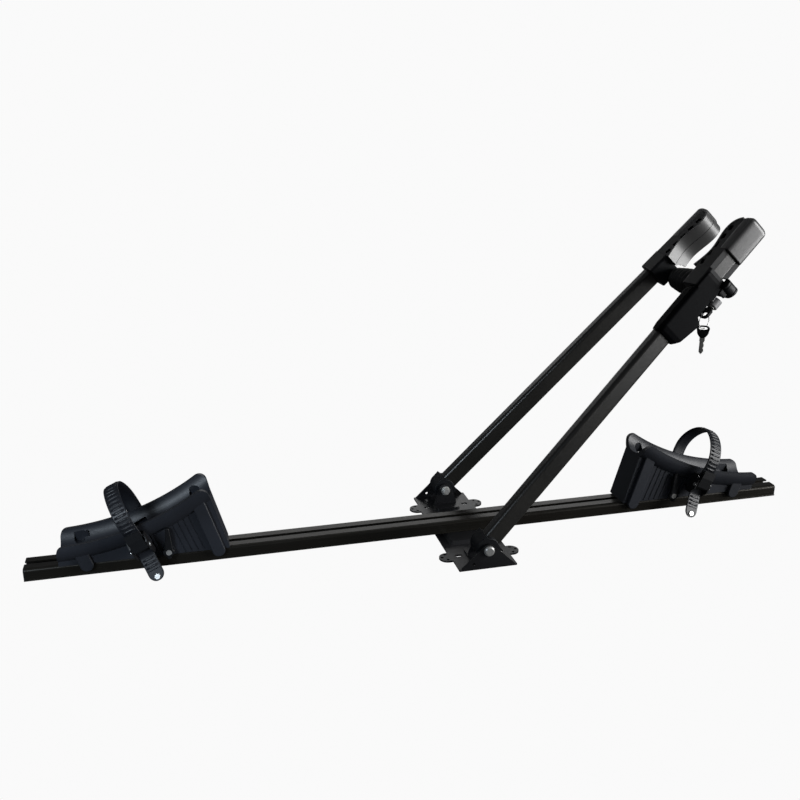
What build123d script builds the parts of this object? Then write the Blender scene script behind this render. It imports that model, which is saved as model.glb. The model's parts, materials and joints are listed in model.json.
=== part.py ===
"""Roof mounted bike carrier: rail, two wheel trays with ratchet straps, and two folding frame-clamp arms.

Millimetres, +Z up, +X along the rail, +Y away from the side that carries the buckles and the clamp lever.
The origin is the middle of the base plate's underside, below the axis of the two arm pivots.
"""
from build123d import *
from math import asin, cos, degrees, radians, sin, sqrt
import os

# Driving sizes of the rail
rail_length = 1300.0
rail_width = 44.0
rail_height = 20.0
rail_middle_x = -52.0
rail_shoulder = 5.0
rail_wall = 2.0
rail_bead = 1.2
bead_height = 2.4
slot_width = 8.4
lip_thick = 2.6
chamber_width = 25.0
chamber_depth = 9.0
cap_thick = 2.5
cap_plug_depth = 14.0
cap_clearance = 0.2

# Driving sizes of the base plate and its brackets
plate_thick = 3.0
plate_half_width = 50.0
platform_rise = 5.0
platform_half_length = 58.0
platform_half_width = 38.0
platform_draft = 45.0
lobe_radius = 13.5
lobe_x = 54.0
lobe_y = 94.0
lobe_hole_radius = 2.4
lobe_hole_circle = 8.8
oval_length = 12.0
oval_width = 6.5
oval_x = 35.0
flange_foot = 48.0
flange_nose = 11.0
corner_round = 6.0
wall_foot = 22.0
wall_nose = 12.5
bracket_foot_length = 24.0
hem_height = 5.0

# Driving sizes of the arm pivots
pivot_rise = 23.0
pivot_half_span = 119.0
channel_width = 37.0
pivot_radius = 4.0
pivot_clearance = 0.05
swing_clearance = 0.5
head_radius = 8.6
head_height = 4.6
head_dome_share = 0.7
nut_radius = 6.4
nut_height = 6.5
washer_radius = 9.5
washer_thick = 1.2

# Driving sizes of the arms, measured along the arm, across it and outwards
arm_angle = 46.4
arm_lean = 4.8
tube_height = 31.0
tube_depth = 21.0
tube_round = 6.0
tube_wall = 1.8
tube_start = -11.0
tube_end = 660.0
foot_radius = 19.0
foot_end = 14.0
foot_side_gap = 1.4
fit_gap = 0.12

# Driving sizes of the jaws and collars
collar_start = 528.0
collar_end = 565.0
block_half_height = 20.5
block_inside = 25.0
block_outside = 15.0
block_round = 4.5
jaw_end = 667.0
jaw_heel = 33.0
jaw_waist = 22.0
jaw_toe = 29.0
jaw_waist_at = 600.0
jaw_toe_at = 640.0
pad_thick = 3.5
pad_lap = 7.0
shell_start = 604.0
shell_wall = 4.3
shell_round = 7.0
pocket_count = 5
pocket_pitch = 17.7
pocket_first = 573.5
pocket_length = 10.5
pocket_height = 7.56
pocket_round = 1.5
pocket_depth = 7.0
pocket_slant = 18.0
seam_width = 0.8
tip_share = 0.62

# Driving sizes of the clamp rod, its bellows and the quick-release lever
rod_at = 550.0
boss_back = 8.3
boss_stand = 2.5
stop_slack = 2.0
plate_stand = 1.5
rod_drop = 23.0
rod_radius = 3.5
rod_gap = 0.6
boss_radius = 11.0
bellows_count = 8
bellows_radius = 22.0
bellows_small = 16.0
bellows_fold = 4.5
bellows_bore = 8.0
bellows_seat = 0.3
rod_nut_radius = 6.5
rod_nut_height = 6.0
anchor_plate_thick = 2.0
anchor_plate_length = 30.0
anchor_plate_width = 18.0
lever_tip = 436.0
lever_top = 576.0
lever_wall = 3.0
lever_face = 17.5
lever_back = -4.0
lever_upper = 20.5
lever_waist = 20.5
lever_step_at = 486.0
lever_belly = 37.0
lever_round = 5.0
cam_at = 562.0
cam_out = 15.0
cam_radius = 11.0
cam_pin_radius = 3.0
cam_bottom = 39.0
ear_thick = 3.2
run_gap = 0.3

# Driving sizes of the lock and the keys
lock_start = 526.0
lock_end = 541.0
lock_drop = 33.0
lock_out = 5.0
lock_radius = 9.5
barrel_radius = 6.5
lock_rim_round = 2.0
barrel_proud = 1.5
key_bow_width = 22.0
key_bow_length = 21.0
key_bow_thick = 3.6
key_blade_width = 7.5
key_blade_thick = 2.0
key_blade_length = 27.0
key_slot_length = 13.0
key_slot_width = 8.0
ring_radius = 12.0
ring_wire = 0.7
ring_seat = 2.3

# Driving sizes of the wheel trays
wheel_reach = 610.0
wheel_rise = 446.0
lip_radius = 390.0
tray_inner_foot = 342.0
tray_outer_end = 600.0
tray_end_slope_share = 0.286
tray_half_width = 36.0
trough_half_width = 30.0
trough_depth = 28.0
trough_wall = 3.5
lip_edge = 4.0
lip_round = 12.0
skirt_half_width = 25.0
skirt_wall = 3.5
leg_width = 20.0
leg_out = 30.5
leg_gap = 0.4
leg_reach = 9.0
tall_leg_low = 360.0
tall_leg_high = 390.0
tall_leg_top = 104.0
small_leg_low = 559.0
small_leg_high = 571.0
small_leg_top = 48.0
hole_width = 17.0
hole_height = 20.0
groove_count = 11
groove_pitch = 9.0
groove_first = 392.0
groove_width = 2.2
groove_depth = 1.0
groove_slant = 20.0
fin_thick = 2.6
fin_out = 28.4
fin_at = 455.0
fin_length = 46.0

# Driving sizes of the ratchet straps and buckles
strap_at = 476.0
strap_rise = 50.0
strap_tilt = 25.0
strap_width = 24.0
strap_thick = 2.4
loop_near = 46.0
loop_far = 44.0
loop_bulge = 7.0
loop_top = 94.0
loop_shoulder = 46.0
anchor_drop = 6.0
anchor_pin_radius = 2.2
anchor_eye_wall = 2.6
anchor_ear_thick = 4.0
ridge_count = 22
ridge_height = 1.1
ridge_share = 0.5
buckle_length = 36.0
buckle_wall = 2.2
buckle_cheek = 15.0
buckle_seat = 37.0
buckle_gap = 0.6
buckle_pin_radius = 2.0
pawl_length = 30.0
pawl_thick = 2.6
tail_length = 31.0
tail_tip = 11.0
tail_lean = 24.0
rivet_radius = 4.6
rivet_height = 2.0

# Driving sizes of the tray clamp
clamp_at = 436.0
clamp_rise = 28.0
clamp_shaft_radius = 4.5
clamp_throw = 1.3
clamp_lever_length = 41.0
clamp_lever_thick = 6.0
clamp_hub_radius = 9.0
clamp_hub_seat = 0.4
clamp_stand = 3.6
clamp_tip_radius = 3.0
clamp_nub = 10.0
bolt_head_length = 22.0
bolt_head_width = 20.0
bolt_head_thick = 4.0
bolt_eye_wall = 2.6
bolt_shank = 7.2

# Small shared sizes
overrun = 2.0
slot_clearance = 0.3
screw_radius = 3.0
screw_head_radius = 6.0
screw_head_height = 2.6
screw_nut_radius = 5.6
screw_nut_height = 2.6
screw_at = 24.0

# Derived levels and places
rail_bottom = plate_thick + platform_rise
rail_top = rail_bottom + rail_height
pivot_z = rail_bottom + pivot_rise
outer_face = pivot_half_span + channel_width / 2
inner_face = pivot_half_span - channel_width / 2
arm_plane = Plane(
    origin=(0, -pivot_half_span, pivot_z),
    x_dir=(cos(radians(arm_angle)) * cos(radians(arm_lean)), sin(radians(arm_lean)),
           sin(radians(arm_angle)) * cos(radians(arm_lean))),
    z_dir=(sin(radians(arm_lean)) * cos(radians(arm_angle)), -cos(radians(arm_lean)),
           sin(radians(arm_lean)) * sin(radians(arm_angle))),
)
section_plane = Plane(origin=arm_plane.origin, x_dir=arm_plane.y_dir, z_dir=arm_plane.x_dir)
rod_level = arm_plane.from_local_coords(Vector(rod_at, -rod_drop, 0))


def export(solid, name, colour):
    """Write one named piece."""
    solid.label = name
    solid.color = Color(*colour)
    export_step(solid, os.path.join("parts", name + ".step"))


def far_side(solid):
    """The same piece on the far side of the carrier."""
    return mirror(solid, about=Plane.XZ)


def on_arm(along, across, out):
    """A point of the near arm in the carrier's frame."""
    return arm_plane.from_local_coords(Vector(along, across, out))


def tube_section(grow=0.0):
    """The arm's rounded section, drawn square to the arm."""
    return section_plane * RectangleRounded(tube_height + 2 * grow, tube_depth + 2 * grow, tube_round + grow)


def y_rod(radius, centre_x, centre_z, low_y, high_y):
    """A round bar along Y between two places."""
    bar = Cylinder(radius, high_y - low_y, rotation=(90, 0, 0))
    return Pos(centre_x, (low_y + high_y) / 2, centre_z) * bar


def block(low, high):
    """A square block between two corners."""
    size = Vector(*high) - Vector(*low)
    middle = (Vector(*high) + Vector(*low)) * 0.5
    return Pos(*middle) * Box(size.X, size.Y, size.Z)


# Rail
def rail_outline():
    """The extrusion's outer outline, in Y and Z above the rail's underside."""
    body = Pos(0, rail_height / 2) * Rectangle(rail_width, rail_height)
    top = body.vertices().group_by(Axis.Y)[-1]
    body = fillet(top, rail_shoulder)
    beads = Pos(0, bead_height / 2) * RectangleRounded(rail_width + 2 * rail_bead, bead_height, bead_height / 3)
    return body + beads


def side_chamber(side, shrink=0.0):
    """One of the two hollow chambers beside the slot."""
    width = (rail_width - chamber_width) / 2 - 2 * rail_wall
    height = rail_height - 2 * rail_wall - rail_shoulder / 2
    middle_y = side * (chamber_width / 2 + rail_wall + width / 2)
    shape = RectangleRounded(width - 2 * shrink, height - 2 * shrink, rail_wall / 2)
    return Pos(middle_y, rail_wall + height / 2) * shape


def slot_void():
    """The slot and the wider chamber below it, where the bolt heads run."""
    chamber = Pos(0, rail_height - lip_thick - chamber_depth / 2) * Rectangle(chamber_width, chamber_depth)
    mouth = Pos(0, rail_height - lip_thick / 2) * Rectangle(slot_width, lip_thick + overrun)
    return chamber + mouth


def under_void():
    """The closed chamber below the slot chamber."""
    height = rail_height - lip_thick - chamber_depth - 2 * rail_wall
    return Pos(0, rail_wall + height / 2) * RectangleRounded(chamber_width, height, rail_wall / 2)


def make_rail():
    start = Plane(origin=(rail_middle_x - rail_length / 2, 0, rail_bottom), x_dir=(0, 1, 0), z_dir=(1, 0, 0))
    section = rail_outline() - slot_void() - under_void() - side_chamber(-1) - side_chamber(1)
    rail = extrude(start * section, rail_length)
    for x in (-screw_at, screw_at):
        rail -= Pos(x, 0, rail_bottom) * Cylinder(screw_radius + slot_clearance, rail_height)
    return rail


def make_end_cap(side):
    end_x = rail_middle_x + side * rail_length / 2
    start = Plane(origin=(end_x, 0, rail_bottom), x_dir=(0, side, 0), z_dir=(side, 0, 0))
    cap = extrude(start * (rail_outline() - slot_void()), cap_thick)
    rim = cap.faces().sort_by(Axis.X)[-1 if side > 0 else 0]
    cap = chamfer(rim.outer_wire().edges(), cap_thick / 4)
    for chamber in (-1, 1):
        cap += extrude(start * side_chamber(chamber, cap_clearance), -cap_plug_depth)
    return cap


# Base plate
def lobe_places():
    return [(x, y) for x in (-lobe_x, lobe_x) for y in (-lobe_y, lobe_y)]


def make_base_plate():
    edge = outer_face + plate_thick
    plate = Rectangle(2 * flange_foot, 2 * edge) + Rectangle(2 * plate_half_width, 2 * lobe_y)
    for x, y in lobe_places():
        plate += Pos(x, y) * Circle(lobe_radius)
        neck = Pos(x - (lobe_radius if x > 0 else -lobe_radius) / 2, y) * Rectangle(lobe_radius, 2 * lobe_radius)
        plate += neck
    for x, y in lobe_places():
        outward = 1 if x > 0 else -1
        for turn in (-80, 0, 80):
            hole_x = x + outward * lobe_hole_circle * cos(radians(turn))
            hole_y = y + lobe_hole_circle * sin(radians(turn))
            plate -= Pos(hole_x, hole_y) * Circle(lobe_hole_radius)
        plate -= Pos(outward * oval_x, y) * SlotOverall(oval_length, oval_width)
    solid = extrude(plate, plate_thick)
    top = Plane.XY.offset(plate_thick)
    platform = Rectangle(2 * platform_half_width, 2 * platform_half_length)
    solid += extrude(top * fillet(platform.vertices(), corner_round), platform_rise, taper=platform_draft)
    under = Rectangle(2 * (platform_half_width - plate_thick), 2 * (platform_half_length - plate_thick))
    solid -= extrude(fillet(under.vertices(), corner_round), platform_rise, taper=platform_draft)
    for side in (-1, 1):
        solid += make_flange(side)
    for x in (-screw_at, screw_at):
        solid -= Pos(x, 0, rail_bottom / 2) * Cylinder(screw_radius + slot_clearance, rail_bottom + overrun)
    return solid


def cheek_outline(foot, nose, level):
    """A cheek with a rounded nose about the pivot, widening to its foot."""
    rise = pivot_z - level
    reach = sqrt(foot ** 2 + rise ** 2)
    turn = degrees(asin(nose / reach)) + degrees(asin(rise / reach))
    touch_x = nose * sin(radians(turn))
    touch_z = pivot_z + nose * cos(radians(turn))
    left = Line((-foot, level), (-touch_x, touch_z))
    cap = ThreePointArc((-touch_x, touch_z), (0, pivot_z + nose), (touch_x, touch_z))
    right = Line((touch_x, touch_z), (foot, level))
    base = Line((foot, level), (-foot, level))
    return make_face(Wire([left, cap, right, base]))


def make_flange(side):
    """The triangular outer cheek, folded up from the plate's edge."""
    face = Plane(origin=(0, side * outer_face, 0), x_dir=(side, 0, 0), z_dir=(0, side, 0))
    if side > 0:
        face = Plane(origin=(0, outer_face, 0), x_dir=(-1, 0, 0), z_dir=(0, 1, 0))
    else:
        face = Plane(origin=(0, -outer_face, 0), x_dir=(1, 0, 0), z_dir=(0, -1, 0))
    cheek = extrude(face * cheek_outline(flange_foot, flange_nose, 0), plate_thick)
    bore = y_rod(pivot_radius + pivot_clearance, 0, pivot_z, -outer_face - 2 * plate_thick, outer_face + 2 * plate_thick)
    window = y_rod(lobe_hole_radius, -flange_foot / 2, plate_thick + hem_height + lobe_hole_radius,
                   -outer_face - 2 * plate_thick, outer_face + 2 * plate_thick)
    return cheek - bore - window


def make_inner_bracket():
    """The near inner cheek with its welded foot."""
    face = Plane(origin=(0, -inner_face, 0), x_dir=(1, 0, 0), z_dir=(0, -1, 0))
    cheek = extrude(face * cheek_outline(wall_foot, wall_nose, plate_thick), -plate_thick)
    foot = block((-wall_foot, -inner_face, plate_thick),
                 (wall_foot, -inner_face + bracket_foot_length, 2 * plate_thick))
    corners = foot.edges().filter_by(Axis.Z).group_by(Axis.Y)[-1]
    bracket = cheek + fillet(corners, corner_round)
    bore = y_rod(pivot_radius + pivot_clearance, 0, pivot_z, -inner_face - overrun, -inner_face + plate_thick + overrun)
    return bracket - bore


def make_rail_screws():
    """Two flat-headed screws that hold the rail down on the platform."""
    floor = rail_top - lip_thick - chamber_depth
    screws = []
    for x in (-screw_at, screw_at):
        shank_low = plate_thick - screw_nut_height / 2
        shank = block_cylinder(x, screw_radius, shank_low, floor)
        head = Pos(x, 0, floor) * extrude(Circle(screw_head_radius), screw_head_height, taper=platform_draft / 2)
        screws.append(shank + head)
    return Compound(children=screws)


def block_cylinder(x, radius, low, high):
    """An upright round bar on the carrier's middle line."""
    return Pos(x, 0, (low + high) / 2) * Cylinder(radius, high - low)


def make_rail_nuts():
    """The nuts of the rail screws, in the hollow under the platform."""
    nuts = []
    for x in (-screw_at, screw_at):
        high = rail_bottom - plate_thick
        nut = extrude(Pos(x, 0, 0) * (RegularPolygon(screw_nut_radius, 6) - Circle(screw_radius)), screw_nut_height)
        nuts.append(Pos(0, 0, high - screw_nut_height) * nut)
    return Compound(children=nuts)


def make_pivot_bolt():
    """The near domed pivot bolt, through both cheeks."""
    outside = -outer_face - plate_thick
    end = -inner_face + plate_thick + nut_height + washer_thick
    shank = y_rod(pivot_radius, 0, pivot_z, outside, end)
    head = y_rod(head_radius, 0, pivot_z, outside - head_height, outside)
    head = fillet(head.edges().group_by(Axis.Y)[0], head_height * head_dome_share)
    return shank + head


def make_pivot_nut():
    """The near flanged nut on the inner cheek."""
    inside = -inner_face + plate_thick
    face = Plane(origin=(0, inside, pivot_z), x_dir=(1, 0, 0), z_dir=(0, 1, 0))
    flange = extrude(face * Circle(washer_radius - washer_thick), washer_thick)
    hexagon = extrude(face.offset(washer_thick) * RegularPolygon(nut_radius, 6), nut_height)
    hexagon = chamfer(hexagon.faces().sort_by(Axis.Y)[-1].edges(), washer_thick / 2)
    return flange + hexagon - y_rod(pivot_radius, 0, pivot_z, inside - overrun, inside + nut_height + 2 * overrun)


# Arms
def make_tube():
    start = section_plane.offset(tube_start)
    outer = start * RectangleRounded(tube_height, tube_depth, tube_round)
    inner = start * RectangleRounded(tube_height - 2 * tube_wall, tube_depth - 2 * tube_wall, tube_round - tube_wall)
    tube = extrude(outer - inner, tube_end - tube_start)
    bore = y_rod(pivot_radius + 2 * swing_clearance, 0, pivot_z, -outer_face, -inner_face)
    return tube - bore


def make_arm_foot(bore_gap):
    """The moulded shoe round the arm's lower end, turning on the pivot bolt."""
    half = channel_width / 2 - foot_side_gap
    side = Plane(origin=(0, -pivot_half_span, pivot_z), x_dir=(cos(radians(arm_angle)), 0, sin(radians(arm_angle))),
                 z_dir=(0, -1, 0))
    outline = Circle(foot_radius) + Pos(foot_end / 2, 0) * Rectangle(foot_end, 2 * foot_radius)
    shoe = extrude(side * outline, half, both=True)
    shoe = fillet(shoe.edges().filter_by(GeomType.CIRCLE), foot_side_gap)
    socket = extrude(section_plane.offset(tube_start - fit_gap) * RectangleRounded(
        tube_height + 2 * fit_gap, tube_depth + 2 * fit_gap, tube_round), tube_end)
    bore = y_rod(pivot_radius + bore_gap, 0, pivot_z, -outer_face, -inner_face)
    return shoe - socket - bore


def arm_block(start, end, inside, outside, half_height, rounding):
    """A block round the arm, with its long edges rounded."""
    low = Vector(start, -half_height, -inside)
    high = Vector(end, half_height, outside)
    shape = block(tuple(low), tuple(high))
    long_edges = shape.edges().filter_by(Axis.X)
    return arm_plane.from_local_coords(fillet(long_edges, rounding))


def tube_void(start, end):
    return extrude(section_plane.offset(start) * RectangleRounded(
        tube_height + 2 * fit_gap, tube_depth + 2 * fit_gap, tube_round), end - start)


def rod_bar(radius, low_y, high_y):
    return y_rod(radius, rod_level.X, rod_level.Z, low_y, high_y)


boss_inner_y = on_arm(rod_at, -rod_drop, -block_inside).Y + boss_stand
boss_outer_y = on_arm(rod_at, -rod_drop, -boss_back).Y
far_plate_y = -on_arm(rod_at, -rod_drop, block_outside).Y + plate_stand


def make_collar():
    """The near collar: a block clamped on the tube, with the boss that guides the clamp rod."""
    collar = arm_block(collar_start, collar_end, block_inside, block_outside, block_half_height, block_round)
    ends = collar.edges().group_by(Axis((0, 0, 0), tuple(arm_plane.x_dir)))[0]
    collar = chamfer(ends, block_round / 3)
    collar += rod_bar(boss_radius, boss_outer_y, boss_inner_y)
    collar -= tube_void(collar_start - overrun, collar_end + overrun)
    return collar - rod_bar(rod_radius + rod_gap, -pivot_half_span, 0)


def bellows_recess(solid):
    """A jaw piece with room for the bellows beside its heel."""
    return solid - rod_bar(bellows_radius + 2 * rod_gap, -pivot_half_span, 0)


def grip_line(inset):
    """The jaw's grip curve in arm coordinates, set back by an inset."""
    heel = (collar_end + run_gap, -jaw_heel + inset)
    waist = (jaw_waist_at, -jaw_waist + inset)
    toe = (jaw_toe_at, -jaw_toe + inset)
    tip = (jaw_end - inset, -block_outside * tip_share)
    return Spline(heel, waist, toe, tip, tangents=[(1, 0.45), (0.25, 1)])


def jaw_face(inset, back):
    """The face between the grip curve and a straight back, in along and out."""
    curve = grip_line(inset)
    first = curve @ 0
    last = curve @ 1
    top = Line(last, (last.X, back))
    base = Line((last.X, back), (first.X, back))
    end = Line((first.X, back), first)
    return make_face(Wire([curve, top, base, end]))


jaw_plane = Plane(origin=arm_plane.origin, x_dir=arm_plane.x_dir, z_dir=-arm_plane.y_dir)


def make_jaw_core():
    """The hard inner block of the jaw, with its row of pockets on both edges."""
    half = block_half_height - run_gap
    core = extrude(jaw_plane * jaw_face(pad_thick + run_gap, tube_depth / 2), half, both=True)
    core -= tube_void(collar_end - overrun, tube_end + run_gap)
    for index in range(pocket_count):
        along = pocket_first + index * pocket_pitch
        for side in (-1, 1):
            mouth = Plane(origin=on_arm(along, side * half, -tube_depth / 2 - pocket_length / 1.5),
                          x_dir=arm_plane.x_dir, z_dir=arm_plane.y_dir * side)
            window = Rot(0, 0, pocket_slant) * RectangleRounded(pocket_length, pocket_height, pocket_round)
            core -= extrude(mouth * window, -pocket_depth)
    return bellows_recess(core)


def make_jaw_pad():
    """The soft grip pad over the jaw core, parted by a seam."""
    outer = extrude(jaw_plane * jaw_face(0, -block_outside / 2), block_half_height, both=True)
    core = extrude(jaw_plane * jaw_face(pad_thick, tube_depth), block_half_height + overrun, both=True)
    pad = outer - core
    seam_face = jaw_face(-overrun, 0)
    groove = extrude(jaw_plane * (seam_face - jaw_face(seam_width, seam_width)), seam_width / 2, both=True)
    return bellows_recess(pad - groove)


def make_jaw_shell():
    """The moulded cover over the tube's end, behind the jaw."""
    shell = arm_block(shell_start, jaw_end + shell_wall, block_outside / 2 - run_gap, block_outside,
                      block_half_height, shell_round / 2)
    far_end = shell.edges().group_by(Axis((0, 0, 0), tuple(arm_plane.x_dir)))[-1]
    shell = fillet(far_end, shell_round / 2)
    room = arm_plane.from_local_coords(block(
        (shell_start - overrun, -tube_height / 2 - fit_gap, -block_outside),
        (tube_end + run_gap, tube_height / 2 + fit_gap, tube_depth / 2 + fit_gap)))
    notch = extrude(jaw_plane * jaw_face(pad_thick, tube_depth / 2 + fit_gap), block_half_height, both=True)
    return shell - room - notch


# Clamp rod and bellows
def make_rod():
    far_out = far_plate_y + anchor_plate_thick
    near_end = boss_outer_y - stop_slack - rod_nut_height - slot_clearance
    rod = rod_bar(rod_radius, near_end, far_out + rod_nut_height)
    nut = Plane(origin=(rod_level.X, far_out, rod_level.Z), x_dir=(1, 0, 0), z_dir=(0, 1, 0))
    return rod + extrude(nut * RegularPolygon(rod_nut_radius, 6), rod_nut_height)


def make_rod_stop():
    """The barrel nut on the rod's near end, that the cam pulls on."""
    high = boss_outer_y - stop_slack
    low = high - rod_nut_height
    stop = rod_bar(rod_nut_radius, low, high) - rod_bar(rod_radius, low - overrun, high + overrun)
    return stop


def make_anchor_plate():
    """The pressed plate between the far collar and the rod's nut."""
    far_out = far_plate_y
    face = Plane(origin=(rod_level.X, far_out, rod_level.Z), x_dir=(1, 0, 0), z_dir=(0, 1, 0))
    plate = extrude(face * RectangleRounded(anchor_plate_length, anchor_plate_width, corner_round / 2),
                    anchor_plate_thick)
    return plate - rod_bar(rod_radius + rod_gap, far_out - overrun, far_out + 2 * overrun)


def make_bellows():
    """The ribbed rubber sleeve over the clamp rod, between the two collars."""
    low = boss_inner_y + bellows_seat
    high = -boss_inner_y - bellows_seat
    pitch = (high - low) / bellows_count
    body = None
    for index in range(bellows_count):
        share = index / (bellows_count - 1)
        crest = bellows_radius + (bellows_small - bellows_radius) * share
        root = crest - bellows_fold
        start = low + index * pitch
        rings = [(start, root), (start + pitch * 0.35, crest), (start + pitch * 0.65, crest), (start + pitch, root)]
        if index == bellows_count - 1:
            rings[-1] = (high, root)
        circles = [Plane(origin=(rod_level.X, y, rod_level.Z), x_dir=(1, 0, 0), z_dir=(0, 1, 0)) * Circle(r)
                   for y, r in rings]
        rib = loft(Sketch() + circles, ruled=True)
        body = rib if body is None else body + rib
    return body - rod_bar(bellows_bore, low - overrun, high + overrun)


# Quick-release lever
def lever_outline(inset=0.0):
    """The lever's side outline, in along and across."""
    points = [
        (lever_tip + inset, -lever_belly * 0.5),
        (lever_tip + lever_round + inset, -lever_belly * 0.78 + inset),
        (lever_step_at - lever_round - inset, -lever_belly + inset),
        (lever_step_at + lever_round / 2 - inset, -lever_waist + inset),
        (lever_top + inset, -lever_waist + inset),
        (lever_top + inset, lever_upper - inset),
        (lever_tip + lever_round * 1.6 + inset, lever_upper - inset),
        (lever_tip + lever_round / 2 + inset, lever_upper * 0.5),
    ]
    return make_face(Polyline(*points, close=True))


def make_cam_lever():
    """The long quick-release lever, a channel over the arm with its cam at the upper end."""
    base = arm_plane.offset(lever_back)
    outer = extrude(base * lever_outline(), lever_face - lever_back)
    front = outer.faces().sort_by(Axis((0, 0, 0), tuple(arm_plane.z_dir)))[-1]
    outer = fillet(front.edges(), lever_round - lever_wall / 2)
    room = extrude(base.offset(-overrun) * lever_outline(lever_wall), lever_face - lever_back - lever_wall + overrun)
    lever = outer - room
    clear = arm_block(collar_start - 2 * run_gap, lever_top + lever_wall + overrun, block_inside,
                      block_outside + run_gap, block_half_height + run_gap, block_round)
    lever -= clear
    head_low = lever_top + lever_wall
    lever -= arm_plane.from_local_coords(block(
        (cam_at - cam_radius - run_gap, -block_half_height - run_gap, lever_back - overrun),
        (head_low, lever_belly, lever_face + overrun)))
    lever -= extrude(section_plane.offset(lever_tip - overrun) * RectangleRounded(
        tube_height + 2 * rod_gap, tube_depth + 2 * rod_gap, tube_round), lever_top - lever_tip)
    web = block((lever_step_at - 2 * lever_round, ear_thick + 2 * run_gap - cam_bottom, lever_face - run_gap),
                (cam_at, -block_half_height - run_gap, lever_face + lever_wall))
    lever += arm_plane.from_local_coords(web)
    root = block((lever_tip + 4 * lever_round, ear_thick + 2 * run_gap - cam_bottom, lever_face - run_gap),
                 (cam_at - cam_radius - 2 * run_gap, -tube_height / 2, lever_face + lever_wall))
    lever += arm_plane.from_local_coords(root)
    barrel_plane = Plane(origin=on_arm(cam_at, -block_half_height - run_gap, cam_out),
                         x_dir=arm_plane.x_dir, z_dir=-arm_plane.y_dir)
    height = cam_bottom - ear_thick - 2 * run_gap - block_half_height
    lever += extrude(barrel_plane * Circle(cam_radius), height)
    lever -= extrude(barrel_plane.offset(-overrun) * Circle(cam_pin_radius + pivot_clearance), height + 2 * overrun)
    return lever


def make_cam_bracket():
    """The two ears under the near collar that carry the cam pin."""
    ears = None
    for top, bottom in ((block_half_height - ear_thick, block_half_height), (cam_bottom - ear_thick, cam_bottom)):
        level = Plane(origin=on_arm(cam_at, -top, cam_out), x_dir=arm_plane.x_dir, z_dir=-arm_plane.y_dir)
        reach = cam_out + block_inside / 2
        plate = Circle(cam_radius) + Pos(0, -reach / 2) * Rectangle(2 * cam_radius, reach)
        ear = extrude(level * plate, bottom - top)
        ears = ear if ears is None else ears + ear
    jaw_room = block((collar_end, -block_half_height, -block_inside), (jaw_end, -block_half_height / 2, tube_depth / 2))
    web = block((cam_at - cam_radius, -cam_bottom, -block_inside / 2),
                (collar_end, ear_thick - block_half_height, -boss_back))
    return ears - arm_plane.from_local_coords(jaw_room) + arm_plane.from_local_coords(web)


def cam_pin_bar(radius, low, high):
    """A bar along the cam axis between two depths below the arm's middle."""
    level = Plane(origin=on_arm(cam_at, -low, cam_out), x_dir=arm_plane.x_dir, z_dir=-arm_plane.y_dir)
    return extrude(level * Circle(radius), high - low)


def make_near_collar(collar):
    """The near collar with the ears of the cam and a pocket for the rod's stop."""
    near = collar + make_cam_bracket()
    near -= tube_void(collar_start, jaw_end)
    near -= cam_pin_bar(cam_pin_radius, block_half_height - ear_thick / 2, cam_bottom + overrun)
    near -= rod_bar(rod_nut_radius + rod_gap, -pivot_half_span, boss_outer_y)
    return near - rod_bar(rod_radius + rod_gap, -pivot_half_span, 0)


def make_far_boss():
    """The far collar's outer seat for the anchor plate."""
    low = far_plate_y - block_outside
    boss = rod_bar(boss_radius, low, far_plate_y) - rod_bar(rod_radius + rod_gap, 0, pivot_half_span)
    return boss - far_side(tube_void(collar_start, collar_end))


def make_cam_pin():
    pin = cam_pin_bar(cam_pin_radius, block_half_height - ear_thick / 2, cam_bottom)
    return pin + cam_pin_bar(cam_pin_radius * 1.7, cam_bottom, cam_bottom + ear_thick / 2)


# Lock and keys
lock_plane = Plane(origin=on_arm(lock_start, -lock_drop, lock_out), x_dir=arm_plane.y_dir, z_dir=arm_plane.x_dir)


def make_lock_housing():
    body = extrude(lock_plane * Circle(lock_radius), lock_end - lock_start)
    rim = body.edges().group_by(Axis((0, 0, 0), tuple(arm_plane.x_dir)))[0]
    body = fillet(rim, lock_rim_round)
    neck = arm_plane.from_local_coords(block(
        (lock_start + corner_round, -lock_drop, lock_out - corner_round),
        (lock_end, -block_half_height - fit_gap, lock_out + corner_round)))
    bore = extrude(lock_plane * Circle(barrel_radius + pivot_clearance),
                   lock_end - lock_start - barrel_radius - barrel_proud + slot_clearance)
    return body + neck - bore


def make_lock_barrel():
    barrel = extrude(lock_plane.offset(-barrel_proud) * Circle(barrel_radius), lock_end - lock_start - barrel_radius)
    way = Rectangle(key_blade_thick, key_blade_width)
    return barrel - extrude(lock_plane.offset(-barrel_proud) * way, lock_end - lock_start, both=True)


def key_bow():
    """The plastic bow of a key, with the shoulder at the origin and the bow downwards."""
    outline = Pos(0, -key_bow_length / 2) * Rectangle(key_bow_width, key_bow_length)
    low = outline.vertices().group_by(Axis.Y)[0]
    outline = fillet(low, key_bow_length / 3)
    top = outline.vertices().group_by(Axis.Y)[-1]
    outline = chamfer(top, key_bow_length / 3.2)
    slot_at = -key_bow_length + key_slot_width * 0.95
    outline -= Pos(0, slot_at) * SlotOverall(key_slot_length, key_slot_width)
    bow = extrude(outline, key_bow_thick / 2, both=True)
    return bow


def key_blade(length):
    blade = Pos(0, length / 2) * Box(key_blade_width, length, key_blade_thick)
    point = blade.edges().filter_by(Axis.Z).group_by(Axis.Y)[-1]
    return chamfer(point, key_blade_width / 3)


def make_key():
    """The key in the lock, its bow outwards."""
    place = Plane(origin=lock_plane.origin - arm_plane.x_dir * (barrel_proud + run_gap), x_dir=arm_plane.z_dir,
                  z_dir=arm_plane.y_dir)
    blade = key_blade(lock_end - lock_start - barrel_radius - barrel_proud)
    slim = scale(blade, by=(1 - fit_gap, 1, 1 - fit_gap))
    return place.location * (key_bow() + slim)


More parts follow.
